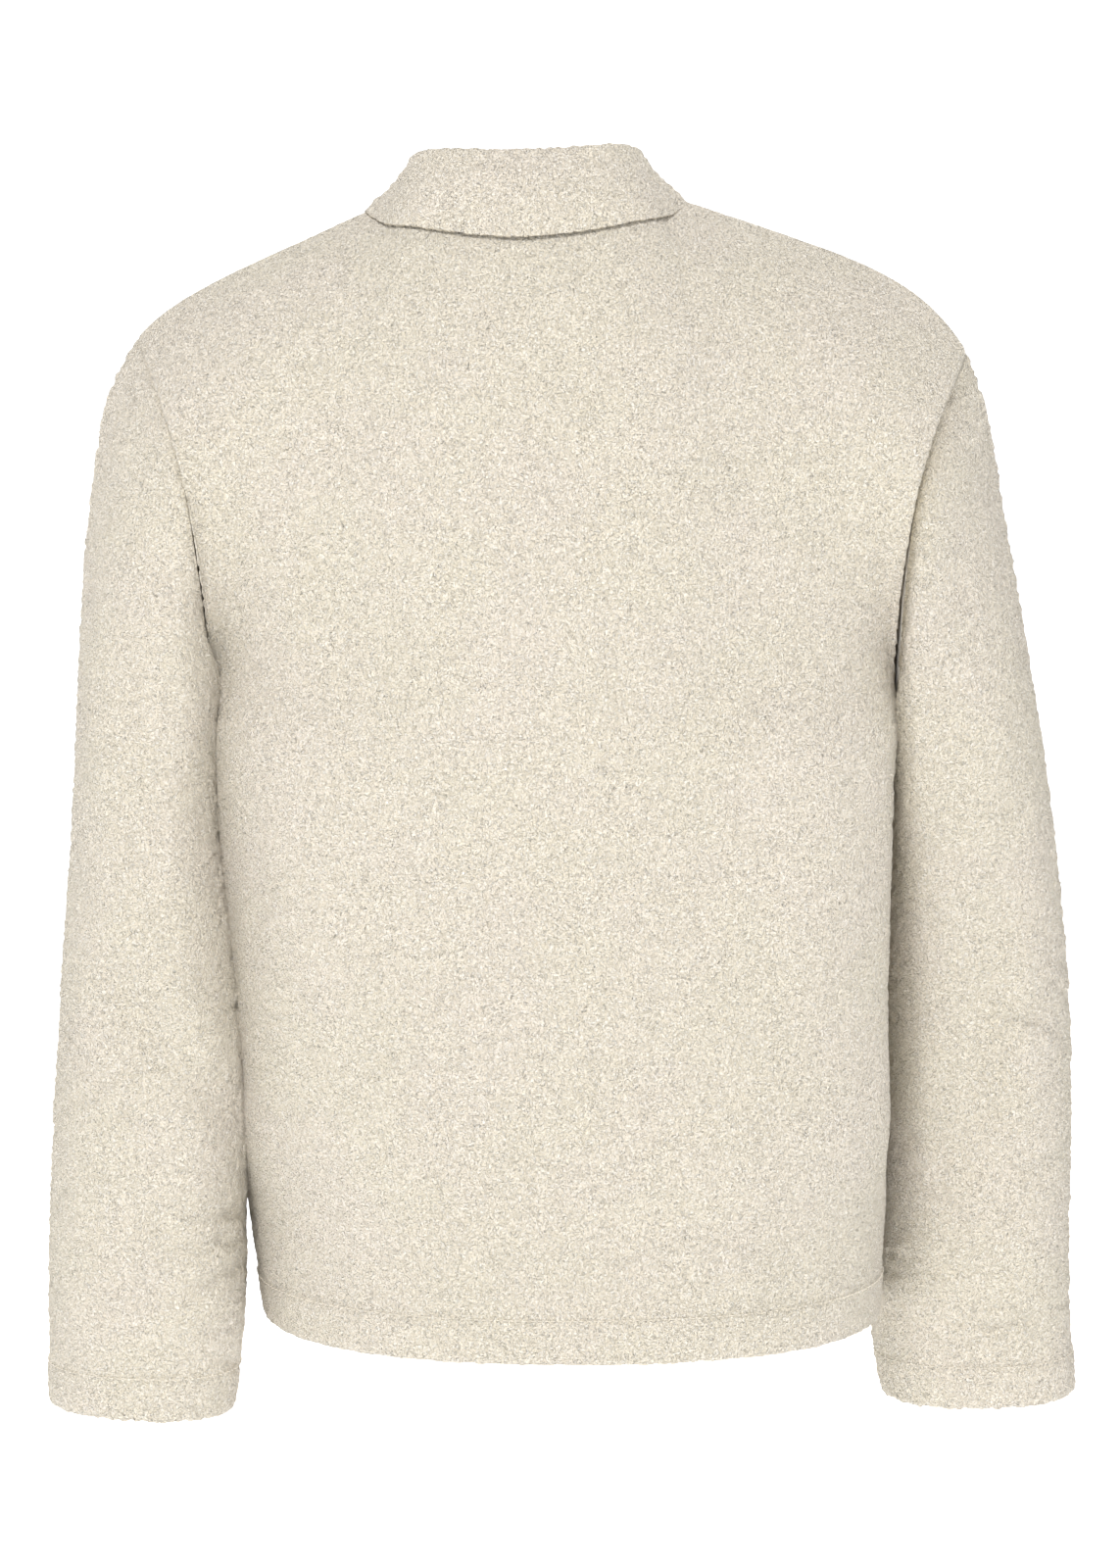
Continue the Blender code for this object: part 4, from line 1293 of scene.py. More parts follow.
@dataclass
class BodyPanel:
    """The back or the front: a skirt below the underarms and a yoke above them."""

    face: Face
    form: BodyForm
    cloth: Cloth
    pile: Pile
    creases: tuple
    side_columns: int = 120
    slit_columns: int = 16
    skirt_rows: int = 160
    yoke_rows: int = 176
    metres_across: float = 0.31
    corner_fill: float = 0.0130
    fill_top: float = -0.272
    lip: dict = field(default_factory=lambda: {Hand.LEFT: 0.0006, Hand.RIGHT: 0.0026})
    flat: tuple = (0.560, 0.735)
    flat_area: dict = field(default_factory=lambda: {Face.BACK: 0.366, Face.FRONT: 0.351})

    @property
    def node(self) -> str:
        """The solid that it stands for."""
        return f"{self.face.name.lower()}_panel"

    def columns(self) -> Grid:
        """Shares across the panel, evenly spaced on each side of the slit."""
        dense = np.linspace(-1.0, 1.0, 4001)
        run = steps_along(self.form.skirt(self.face, dense, np.array([-0.45]))[0], 0)
        slit = self.form.slit_column
        marks = np.interp([-1.0, -slit, slit, 1.0], dense, run)
        counts = (self.side_columns, self.slit_columns, self.side_columns)
        parts = [np.linspace(a, b, n + 1)[:-1] for a, b, n in zip(marks, marks[1:], counts)]
        even = np.append(np.concatenate(parts), marks[-1])
        return np.interp(even, run, dense)

    def heights(self) -> Grid:
        """Rows of the skirt, from the start of the turned edge to below the chest."""
        start = self.form.hem_z + self.cloth.edge_radius
        return np.linspace(start, self.form.chest_z, self.skirt_rows + 1)[:-1]

    def rises(self) -> Grid:
        """Rows of the yoke."""
        return np.linspace(0.0, 1.0, self.yoke_rows + 1)

    def creased(self, across: Grid, heights: Grid, rises: Grid) -> tuple[Grid, Grid]:
        """The panel's form with its creases pressed in, and its normals.

        Args:
            across: The columns.
            heights: The skirt's rows.
            rises: The yoke's rows.

        Returns:
            Points and normals, rows by columns.
        """
        form = self.form.panel(self.face, across, heights, rises)
        normals = grid_normals(form, wrap=False) * -self.face.value
        normals[: len(heights), [0, -1], 1] = 0.0
        normals = unit(normals)
        facing = smooth_step(0.1, 0.5, self.face.value * normals[..., 1])
        sunk = np.zeros(form.shape[:2])
        for crease in self.creases:
            if crease.face is self.face:
                sunk += crease.sunk(form[..., 0], form[..., 2])
        form = form - normals * (sunk * facing)[..., None]
        form = form + normals * self.filled(form, normals)[..., None]
        fresh = unit(grid_normals(form, wrap=False) * -self.face.value)
        fresh[: len(heights), [0, -1]] = normals[: len(heights), [0, -1]]
        return form, fresh

    def filled(self, form: Grid, normals: Grid) -> Grid:
        """How far the back's corners fill out towards the sleeves that lean on them.

        Args:
            form: Points of the panel.
            normals: Its normals.

        Returns:
            The depth times a share of the facing to the back, one of the facing to
            the side and one that fades out at the underarm and above the hem.
        """
        if self.face is Face.FRONT:
            return np.zeros(form.shape[:2])
        share = smooth_step(0.05, 0.5, normals[..., 1]) * smooth_step(0.0, 0.6, np.abs(normals[..., 0]))
        return self.corner_fill * share * beside_sleeve(form[..., 2], self.fill_top)

    def outside(self, across: Grid) -> Grid:
        """The outer points with their pile."""
        heights, rises = self.heights(), self.rises()
        form, normals = self.creased(across, heights, rises)
        down = -unit(form[1] - form[0])
        edge, edge_facing = turned_edge(form[0], normals[0], down, self.cloth, EDGE_TURNS[::-1])
        distance = np.append(heights - self.form.hem_z, np.full(len(rises), 1.0))
        lift = np.broadcast_to(self.cloth.turned_lift(distance)[:, None], form.shape[:2]).copy()
        from_bottom = steps_along(form, 0)
        from_top = from_bottom[-1:] - from_bottom
        skirt = np.arange(len(form)) < len(heights)
        radius = np.where(skirt, self.cloth.plain_roll, self.cloth.seam_roll)[:, None]
        near = from_borders(form, 1)
        lift -= self.cloth.rolled(near, radius)
        lift -= self.cloth.rolled(from_top, self.cloth.plain_roll)
        calm = self.pile.calm(np.minimum(near, from_top))
        if self.face is Face.FRONT:
            calm = calm * self.away_from_slit(across, from_bottom, len(heights))
        base = np.concatenate([edge, form + normals * lift[..., None]])
        facing = np.concatenate([edge_facing, normals])
        calm = np.concatenate([np.ones(edge.shape[:2]), calm])
        height = self.pile.heights(base, facing)
        outer = base + facing * (height * calm)[..., None]
        return self.lipped(outer, height, len(edge) + len(heights))

    def lipped(self, outer: Grid, height: Grid, chest_row: int) -> Grid:
        """Let the pile of the armholes' edges hang over the seams, clump by clump."""
        rise = self.rises()
        low = smooth_step(0.0, 0.06, rise) * (1.0 - smooth_step(0.80, 0.97, rise))
        for hand, hole in self.form.armholes.items():
            way = hole.outward(self.face, rise)
            over = self.lip[hand] * low + 2.0 * (height[chest_row:, -1 if hand is Hand.LEFT else 0] * low)
            for step, share in enumerate((1.0, 0.75, 0.35)):
                column = -1 - step if hand is Hand.LEFT else step
                outer[chest_row:, column] += way * (over * share)[:, None]
        return outer

    def away_from_slit(self, across: Grid, from_bottom: Grid, chest_row: int) -> Grid:
        """0 at the slit, where the placket lies on the pile, to 1 beyond its laps."""
        metres = (np.abs(across)[None, :] - self.form.slit_column) * self.metres_across
        bottom = from_bottom[chest_row + self.yoke_rows // 2]
        below = bottom[None, :] - from_bottom
        off = np.hypot(np.maximum(metres, 0.0), np.maximum(below, 0.0))
        return smooth_step(0.004, 0.010, off)

    def inside(self, across: Grid) -> Grid:
        """The inner points, a wall's thickness in, on every fourth row and column."""
        few = across[::COARSE]
        start = self.form.hem_z + self.cloth.edge_radius
        near_edge = start + np.array([0.0025, 0.0050, 0.0075])
        heights = np.concatenate([near_edge, self.heights()[COARSE::COARSE]])
        rises = self.rises()[::COARSE]
        form, normals = self.creased(few, heights, rises)
        distance = np.append(heights - self.form.hem_z, np.full(len(rises), 1.0))
        inner = form - normals * self.cloth.turned_depth(distance)[:, None, None]
        inner[-1] = self.form.top_edge(self.face, few) - UP * self.cloth.wall
        for hand, column in ((Hand.LEFT, -1), (Hand.RIGHT, 0)):
            hole = self.form.armholes[hand]
            seam = hole.line(self.face, rises) + hole.inward(self.face, rises) * self.cloth.wall
            inner[len(heights):, column] = seam
        return inner

    def build(self, wardrobe: Wardrobe, threads: list[Thing]) -> Thing:
        """Make the panel's shell.

        Args:
            wardrobe: The finishes.
            threads: The stitches that go with it; not used.

        Returns:
            The new piece.
        """
        across = self.columns()
        outer, inner = self.outside(across), self.inside(across)
        half_gap = np.array([0.0, self.face.value * 0.5 * self.cloth.seam_gap, 0.0])
        outer[:, [0, -1]] += half_gap
        inner[:, [0, -1]] += half_gap
        rows, columns = outer.shape[0] - 1, outer.shape[1] - 1
        left, right = self.side_columns, self.side_columns + self.slit_columns
        bottom = rows - self.yoke_rows // 2
        corners = [(0, 0), (0, columns), (rows, columns), (rows, 0)]
        slit = None
        if self.face is Face.FRONT:
            corners[3:3] = [(rows, right), (bottom, right), (bottom, left), (rows, left)]
            slit = (bottom, left, right)
        flip = self.face is Face.BACK
        shell = Shell(f"{self.node}_borg", outer, inner, [walk(corners)], flip=flip, slit=slit)
        piece = shell.build([wardrobe.borg, wardrobe.backing])
        fasten(piece, "borg", self.node)
        return piece


@dataclass(frozen=True)
class Lean:
    """How a sleeve leans on the body, and the depth and the shade of the groove there."""

    swell: float
    top: float
    shade: float
    valley_depth: float
    valley_width: float
    seam_shade: float
    seam_width: float


LEANS = {
    Hand.LEFT: Lean(0.009, -0.238, 0.06, 0.0012, 0.012, seam_shade=0.35, seam_width=0.006),
    Hand.RIGHT: Lean(0.004, -0.272, 0.36, 0.0036, 0.026, seam_shade=0.80, seam_width=0.022),
}


@dataclass
class Sleeve:
    """One sleeve: a tube from the armhole to a turned cuff."""

    form: SleeveForm
    cloth: Cloth
    pile: Pile
    creases: tuple
    lean: Lean
    half_columns: int = 124
    tube_rows: int = 316
    flat: tuple = (0.600, 0.660)
    flat_area: dict = field(default_factory=lambda: {Hand.LEFT: 0.212, Hand.RIGHT: 0.227})

    @property
    def node(self) -> str:
        """The solid that it stands for."""
        return f"sleeve_{self.form.hand.name.lower()}"

    def stations(self) -> Grid:
        """Places along the sleeve at equal distances, to where the cuff's edge turns."""
        end = self.form.last - self.cloth.edge_radius / self.form.last_step
        dense = np.linspace(0.0, end, 800)
        middle = self.form.half(Face.BACK, dense, np.array([0.62]))[:, 0]
        return even_steps(dense, middle, self.tube_rows)

    def rises(self) -> Grid:
        """Shares round one half at equal distances on the middle of the sleeve."""
        dense = np.linspace(0.0, 1.0, 2001)
        ring = self.form.half(Face.BACK, np.array([4.0]), dense)[0]
        return even_steps(dense, ring, self.half_columns)

    def creased(self, stations: Grid, rises: Grid) -> tuple[Grid, Grid]:
        """The tube with its creases pressed in, and its outward normals.

        Args:
            stations: Places along the sleeve.
            rises: Shares round one half.

        Returns:
            Points and normals, rows by columns.
        """
        form, round_it = self.form.tube(stations, rises)
        normals = self.outward(form)
        sunk = np.zeros(form.shape[:2])
        for crease in self.creases:
            sunk += crease.sunk(round_it, form[..., 2])
        sunk -= self.leaning(form, normals)[0]
        sunk *= smooth_step(0.0, 0.6, stations)[:, None]
        form = form - normals * sunk[..., None]
        return form, self.outward(form)

    def leaning(self, form: Grid, normals: Grid) -> tuple[Grid, Grid]:
        """How far the sleeve's back swells towards the body that it leans on, and how
        much of the light that keeps off its pile: both grow with the facing there.

        Args:
            form: Points of the tube.
            normals: Its outward normals.

        Returns:
            The swell and the shade at each point.
        """
        towards = normals[..., 0] * (-1.0 if self.form.hand is Hand.LEFT else 1.0)
        near = smooth_step(-0.6, 0.0, normals[..., 1]) * beside_sleeve(form[..., 2], self.lean.top)
        swell = self.lean.swell * near * smooth_step(-0.1, 0.55, towards)
        return swell, self.lean.shade * near * smooth_step(0.4, 0.9, towards)

    @staticmethod
    def outward(form: Grid) -> Grid:
        """Normals that point away from the middle of each ring."""
        normals = grid_normals(form, wrap=True)
        away = form - form.mean(axis=1, keepdims=True)
        return normals * np.sign(np.sum(normals * away, axis=-1).mean())

    def cuff_distance(self, stations: Grid) -> Grid:
        """Distance of each station from the cuff's end, and 1 far from it."""
        distance = (self.form.last - stations) * self.form.last_step
        return np.where(stations > self.form.last - 1.0, distance, 1.0)

    def build(self, wardrobe: Wardrobe, threads: list[Thing]) -> Thing:
        """Make the sleeve's shell.

        Args:
            wardrobe: The finishes.
            threads: The stitches of its cuff; not used.

        Returns:
            The new piece.
        """
        stations, rises = self.stations(), self.rises()
        form, normals = self.creased(stations, rises)
        down = unit(form[-1] - form[-2])
        edge, edge_facing = turned_edge(form[-1], normals[-1], down, self.cloth, EDGE_TURNS)
        lift = self.cloth.turned_lift(self.cuff_distance(stations))[:, None]
        from_seam = steps_along(form, 0)
        lift = lift - self.cloth.rolled(from_seam, self.cloth.seam_roll)
        valley = self.valley(rises) * bell(from_seam, self.lean.valley_width)
        lift = lift - valley
        base = np.concatenate([form + normals * lift[..., None], edge])
        facing = np.concatenate([normals, edge_facing])
        calm = np.concatenate([self.pile.calm(from_seam), np.ones(edge.shape[:2])])
        height = self.pile.heights(base, facing)
        hollow = np.zeros(height.shape)
        # Painted shade: darker pile in the groove beside the armhole seam and where the sleeve leans on the
        # body.
        shade = bell(from_seam, self.lean.seam_width) * (valley / self.lean.valley_depth)
        shade = np.maximum(self.lean.seam_shade * shade, self.leaning(form, normals)[1])
        hollow[: len(form)] = shade
        outer = base + facing * (height * calm)[..., None]
        tuck = np.array([1.0, 0.45, 0.1])[:, None, None] * self.cloth.tuck
        outer[:3] -= self.seam_way(self.form.hole.outward, rises)[None] * tuck
        outer[0] -= normals[0] * self.cloth.tuck
        inner = self.inside(stations, rises)
        rows, columns = outer.shape[0] - 1, outer.shape[1]
        borders = [walk([(0, 0), (0, columns)])[:columns], walk([(rows, columns), (rows, 0)])[:columns]]
        flip = bool(np.sum(grid_normals(form, wrap=True) * normals) < 0.0)
        shell = Shell(f"{self.node}_borg", outer, inner, borders, hollow, wrap=True, flip=flip)
        piece = shell.build([wardrobe.borg, wardrobe.backing])
        fasten(piece, "borg", self.node)
        return piece

    def valley(self, rises: Grid) -> Grid:
        """Depth of the valley beside the armhole at every column, less at the tip."""
        depth = self.lean.valley_depth * (1.0 - 0.75 * smooth_step(0.55, 1.0, rises))
        return np.concatenate([depth[:-1], depth[::-1][:-1]])[None]

    @staticmethod
    def seam_way(way: Callable, rises: Grid) -> Grid:
        """A line or a direction of the armhole at every column of the tube."""
        back = way(Face.BACK, rises)[:-1]
        front = way(Face.FRONT, rises[::-1])[:-1]
        return np.concatenate([back, front])

    def inside(self, stations: Grid, rises: Grid) -> Grid:
        """The inner points, a wall's thickness in, on every fourth row and column."""
        few = rises[::COARSE]
        near_edge = stations[-1] - np.array([0.0075, 0.0050, 0.0025]) / self.form.last_step
        places = np.concatenate([stations[:-1:COARSE], near_edge])
        form, normals = self.creased(places, few)
        depth = self.cloth.turned_depth(self.cuff_distance(places))
        inner = form - normals * depth[:, None, None]
        hole = self.form.hole
        shift = self.seam_way(hole.outward, few) * 0.5 * self.cloth.seam_gap
        inner[0] = self.seam_way(hole.line, few) + shift + self.seam_way(hole.inward, few) * self.cloth.wall
        return inner


@dataclass(frozen=True)
class CollarStation:
    """The collar at one angle: height of the stand, how far it leans in, where the
    fall lands, how far that bulges, and how far it splays to the front."""

    angle: float
    stand: float
    lean: float
    landing: float
    bulge: float
    splay: float


@dataclass
class Collar:
    """The turned-down collar: a stand inside the neck, a fold and a fall outside."""

    body: BodyForm
    cloth: Cloth
    pile: Pile
    stations: tuple = (
        CollarStation(0.0, 0.0352, 0.0075, 0.0270, 0.0035, 0.0),
        CollarStation(45.0, 0.0330, 0.0100, 0.0262, 0.0010, 0.0),
        CollarStation(90.0, 0.0250, 0.0135, 0.0230, -0.0022, 0.0),
        CollarStation(130.0, 0.0240, 0.0110, 0.0370, 0.0060, 8.0),
        CollarStation(180.0, 0.0170, 0.0060, 0.0720, 0.0070, 32.0),
    )
    leaf: float = 0.0060
    fold_radius: float = 0.0042
    fold_turn: float = math.radians(125.0)
    rest_gap: float = -0.0020
    below_seam: float = 0.0055
    edge_thinning: float = 0.0016
    # How dark the painted shadow under the fall's edge is.
    edge_shade: float = 0.6
    pile_growth: float = 1.2
    fall_end: float = 0.95
    front_share: float = 0.1168
    knots: int = 28
    columns: int = 440
    stand_rows: int = 24
    fold_rows: int = 12
    fall_rows: int = 44
    flat: tuple = (0.480, 0.130)
    flat_area: float = 0.047

    @property
    def reach(self) -> float:
        """How far round the neck each end of the collar lies, from the back."""
        return HALF_TURN - self.front_share * QUARTER_TURN

    def at(self, angles: Grid) -> Grid:
        """The stations' columns after the angle, alike on both sides of the neck."""
        table = np.array([astuple(station) for station in self.stations])
        return smooth_lookup(np.radians(table[:, 0]), table[:, 1:], np.abs(angles))

    def landing(self, angles: Grid, lengths: Grid, splays: Grid) -> tuple[Grid, Grid]:
        """Where the fall's edge rests: the points of the body nearest to a length from
        the neck seam, straight out from it or splayed.

        Args:
            angles: Places round the neck.
            lengths: Distances from the neck seam.
            splays: How far each turns towards the front, in radians.

        Returns:
            The points, and the body's normals there.
        """
        across = np.linspace(-0.8, 0.8, 641)
        rise = np.linspace(0.6, 1.0, 240)
        points, normals = [], []
        for face in Face:
            form = self.body.yoke(face, across, rise)
            points.append(form.reshape(-1, 3))
            normals.append((grid_normals(form, wrap=False) * -face.value).reshape(-1, 3))
        points, normals = np.concatenate(points), np.concatenate(normals)
        chosen = []
        for angle, length, splay in zip(angles, lengths, splays):
            heading = angle - math.copysign(splay, angle)
            away = points - self.body.neck.line(np.array(angle))
            sideways = away[:, 0] * math.cos(heading) - away[:, 1] * math.sin(heading)
            ahead = away[:, 0] * math.sin(heading) + away[:, 1] * math.cos(heading)
            miss = np.abs(np.linalg.norm(away, axis=1) - length) + 2.0 * np.abs(sideways)
            chosen.append(int(np.argmin(miss + np.where(ahead > 0.0, 0.0, 1.0))))
        return points[chosen], unit(normals[chosen])

    def middle(self, angles: Grid, stand: Grid, fold: Grid, fall: Grid) -> Grid:
        """The middle of the cloth: a straight stand, a half circle over the fold and a
        fall that bows out by four share (1 - share).

        Args:
            angles: Columns round the neck.
            stand: Shares up the stand.
            fold: Angles over the fold, 0 to a half turn.
            fall: Shares down the fall.

        Returns:
            Rows by columns of points.
        """
        knots = np.linspace(-self.reach, self.reach, 2 * self.knots + 1)
        at_knots = self.at(knots)
        rest, facing = self.landing(knots, at_knots[:, 2], np.radians(at_knots[:, 4]))
        rest = rest + facing * (0.5 * self.leaf + self.rest_gap)
        edge = smooth_lookup(knots, rest, angles)
        height, lean, _, bulge, _ = self.at(angles).T
        seam = self.body.neck.line(angles)
        out = np.stack([np.sin(angles), np.cos(angles), np.zeros_like(angles)], axis=-1)
        inset = self.cloth.seam_gap + 0.5 * self.leaf
        foot = seam - out * inset - UP * self.below_seam
        apex = seam - out * (inset + lean)[:, None] + UP * (height - 0.5 * self.leaf)[:, None]
        rise = stand[:, None, None]
        upright = foot + (apex - UP * self.fold_radius - foot) * rise
        swing = fold[:, None, None]
        centre = apex + (out - UP) * self.fold_radius
        over = centre - out * self.fold_radius * np.cos(swing) + UP * self.fold_radius * np.sin(swing)
        share = fall[:, None, None]
        lift = 4.0 * share * (1.0 - share) * bulge[:, None]
        hang = over[-1] + (edge - over[-1]) * share + (out + UP) * lift
        return np.concatenate([upright, over, hang])

    def build(self, wardrobe: Wardrobe) -> Thing:
        """Make the collar's shell.

        Args:
            wardrobe: The finishes.

        Returns:
            The new piece.
        """
        dense = np.linspace(-self.reach, self.reach, 241)
        fall_edge = self.middle(dense, np.zeros(1), np.array([self.fold_turn]), np.ones(1))[-1]
        angles = even_steps(dense, fall_edge, self.columns)
        stand = np.linspace(0.0, 1.0, self.stand_rows + 1)[:-1]
        fold = np.linspace(0.0, self.fold_turn, self.fold_rows + 1)
        fall = np.linspace(0.0, self.fall_end, self.fall_rows + 1)[1:]
        form = self.middle(angles, stand, fold, fall)
        normals = grid_normals(form, wrap=False)
        sense = np.sign(np.sum(normals[-2] * (form[-2] - form[-2].mean(axis=0))))
        normals = normals * sense
        from_edge = steps_along(form, 0)
        from_edge = from_edge[-1:] - from_edge
        half = 0.5 * self.leaf - self.edge_thinning * (1.0 - smooth_step(0.0, 0.008, from_edge))
        from_end = from_borders(form, 1)
        half_out = half - self.cloth.rolled(from_end, 0.5 * self.leaf)
        radius = 0.5 * self.leaf - self.edge_thinning
        turns = EDGE_TURNS[:, None, None]
        down = unit(form[-1] - form[-2])
        edge_facing = np.cos(turns) * normals[-1][None] + np.sin(turns) * down[None]
        edge = form[-1][None] + radius * edge_facing
        edge[:, [0, -1]] = form[-1][None, [0, -1]]
        base = np.concatenate([form + normals * half_out[..., None], edge])
        facing = np.concatenate([normals, edge_facing])
        height = self.pile.heights(base, facing) * self.pile_growth
        hollow = np.zeros(height.shape)
        # Painted shadow on the underside of the fall's edge, where it lies over the body.
        hollow[len(form) + 2:] = self.edge_shade
        foot_calm = smooth_step(0.0, 0.006, steps_along(base, 0))
        end_calm = smooth_step(-0.002, 0.003, np.concatenate([from_end, from_end[-len(EDGE_TURNS):]]))
        outer = base + facing * (height * foot_calm * end_calm)[..., None]
        inner = self.inside(form, normals, half)
        rows, columns = outer.shape[0] - 1, outer.shape[1] - 1
        corners = [(0, 0), (0, columns), (rows, columns), (rows, 0)]
        shell = Shell("collar_borg", outer, inner, [walk(corners)], hollow, flip=bool(sense < 0.0))
        piece = shell.build([wardrobe.borg, wardrobe.borg])
        fasten(piece, "borg", "collar")
        return piece

    def inside(self, form: Grid, normals: Grid, half: Grid) -> Grid:
        """The underside, on every fourth row and column, ending short of the edge."""
        last = len(form) - 1
        rows = np.arange(0, last + len(EDGE_TURNS) + 1, COARSE)
        squeezed = np.where(rows > last - 8, last - 8 + (rows - last + 8) * 0.4, rows)
        low = np.floor(squeezed).astype(int)
        part = (squeezed - low)[:, None, None]
        high = np.minimum(low + 1, last)
        under = form - normals * half[..., None]
        return ((1.0 - part) * under[low] + part * under[high])[:, ::COARSE]


@dataclass(frozen=True)
class StitchRun:
    """A row of machine stitches: short rods of thread that dip at both ends."""

    length: float = 0.0031
    pitch: float = 0.0042
    radius: float = 0.00040
    sink: float = 0.0009
    dip: float = 0.6
    tip: float = 0.35
    sides: int = 5
    rings: int = 5

    def rods(self, path: Grid, facing: Grid) -> tuple[Grid, Grid]:
        """Lay stitches end to end along a path on the cloth. By a half sine each rises
        from a dip at its ends, and thickens from a tip's share of its radius.

        Args:
            path: Points of the path.
            facing: The cloth's normals there.

        Returns:
            The points of all stitches, and their faces.
        """
        run = steps_along(path, 0)
        starts = np.arange(0.5 * (self.pitch - self.length), run[-1] - self.length, self.pitch)
        part = np.linspace(0.0, 1.0, self.rings)
        places = starts[:, None] + part[None, :] * self.length
        middle = read_along(run, path, places)
        normal = unit(read_along(run, facing, places))
        along = unit(np.gradient(middle, axis=1))
        beside = unit(np.cross(along, normal))
        bow = np.sin(HALF_TURN * part)
        rise = self.radius * ((1.0 + self.dip) * bow - self.dip) - self.sink
        middle = middle + normal * rise[None, :, None]
        girth = self.radius * (self.tip + (1.0 - self.tip) * bow**0.5)
        turn = 2.0 * HALF_TURN * np.arange(self.sides) / self.sides
        ring = (
            np.cos(turn)[None, None, :, None] * beside[:, :, None, :]
            + np.sin(turn)[None, None, :, None] * normal[:, :, None, :]
        )
        points = middle[:, :, None, :] + girth[None, :, None, None] * ring
        return points.reshape(-1, 3), self.faces(len(starts))

    def faces(self, count: int) -> list[list[int]]:
        """The faces of a number of stitches: rings joined by quads, with two caps."""
        index = np.arange(self.rings * self.sides).reshape(self.rings, self.sides)
        caps = np.stack([index[0], index[-1][::-1]])
        shift = np.arange(count)[:, None, None] * index.size
        walls = (ring_quads(index) + shift).reshape(-1, 4).tolist()
        return walls + (caps + shift).reshape(-1, self.sides).tolist()


def sewn(
    name: str, runs: list[tuple[Grid, Grid]], stitch: StitchRun, thread: Finish
) -> Thing:
    """Make one piece of all stitches along some paths.

    Args:
        name: The piece's name.
        runs: A path and its normals for each run.
        stitch: The stitch's sizes.
        thread: The finish.

    Returns:
        The new piece.
    """
    points, faces, start = [], [], 0
    for path, facing in runs:
        some, shapes = stitch.rods(path, facing)
        faces += [[number + start for number in shape] for shape in shapes]
        points.append(some)
        start += len(some)
    piece = mesh_object(name, np.concatenate(points), faces, [thread])
    fasten(piece, "borg")
    return piece


@dataclass
class Stitching:
    """The thread that holds down the turned hem and both cuffs."""

    body: BodyForm
    sleeves: tuple
    cloth: Cloth
    stitch: StitchRun = StitchRun()

    def hem_run(self, face: Face) -> tuple[Grid, Grid]:
        """The path of the hem's stitches on the back or the front."""
        across = np.linspace(-0.985, 0.985, 600)
        height = self.body.hem_z + self.cloth.hem_depth - self.cloth.stitch_inset
        rows = self.body.skirt(face, across, np.array([height - 0.001, height, height + 0.001]))
        facing = grid_normals(rows, wrap=False)[1] * -face.value
        lift = float(self.cloth.turned_lift(np.array(self.cloth.hem_depth - self.cloth.stitch_inset)))
        return rows[1] + facing * (lift + self.stitch.sink), facing

    def cuff_run(self, form: SleeveForm) -> tuple[Grid, Grid]:
        """The path of one cuff's stitches, all round it."""
        distance = self.cloth.hem_depth - self.cloth.stitch_inset
        station = form.last - distance / form.last_step
        places = station + np.array([-0.02, 0.0, 0.02])
        tube = form.tube(places, np.linspace(0.0, 1.0, 200))[0]
        facing = Sleeve.outward(tube)[1]
        lift = float(self.cloth.turned_lift(np.array(distance)))
        return tube[1] + facing * (lift + self.stitch.sink), facing

    def build(self, wardrobe: Wardrobe) -> list[Thing]:
        """Make the stitches of the hem and of each cuff."""
        runs = [self.hem_run(face) for face in Face]
        made = [sewn("hem_stitches", runs, self.stitch, wardrobe.thread)]
        for form in self.sleeves:
            name = f"cuff_stitches_{form.hand.name.lower()}"
            made.append(sewn(name, [self.cuff_run(form)], self.stitch, wardrobe.thread))
        return made


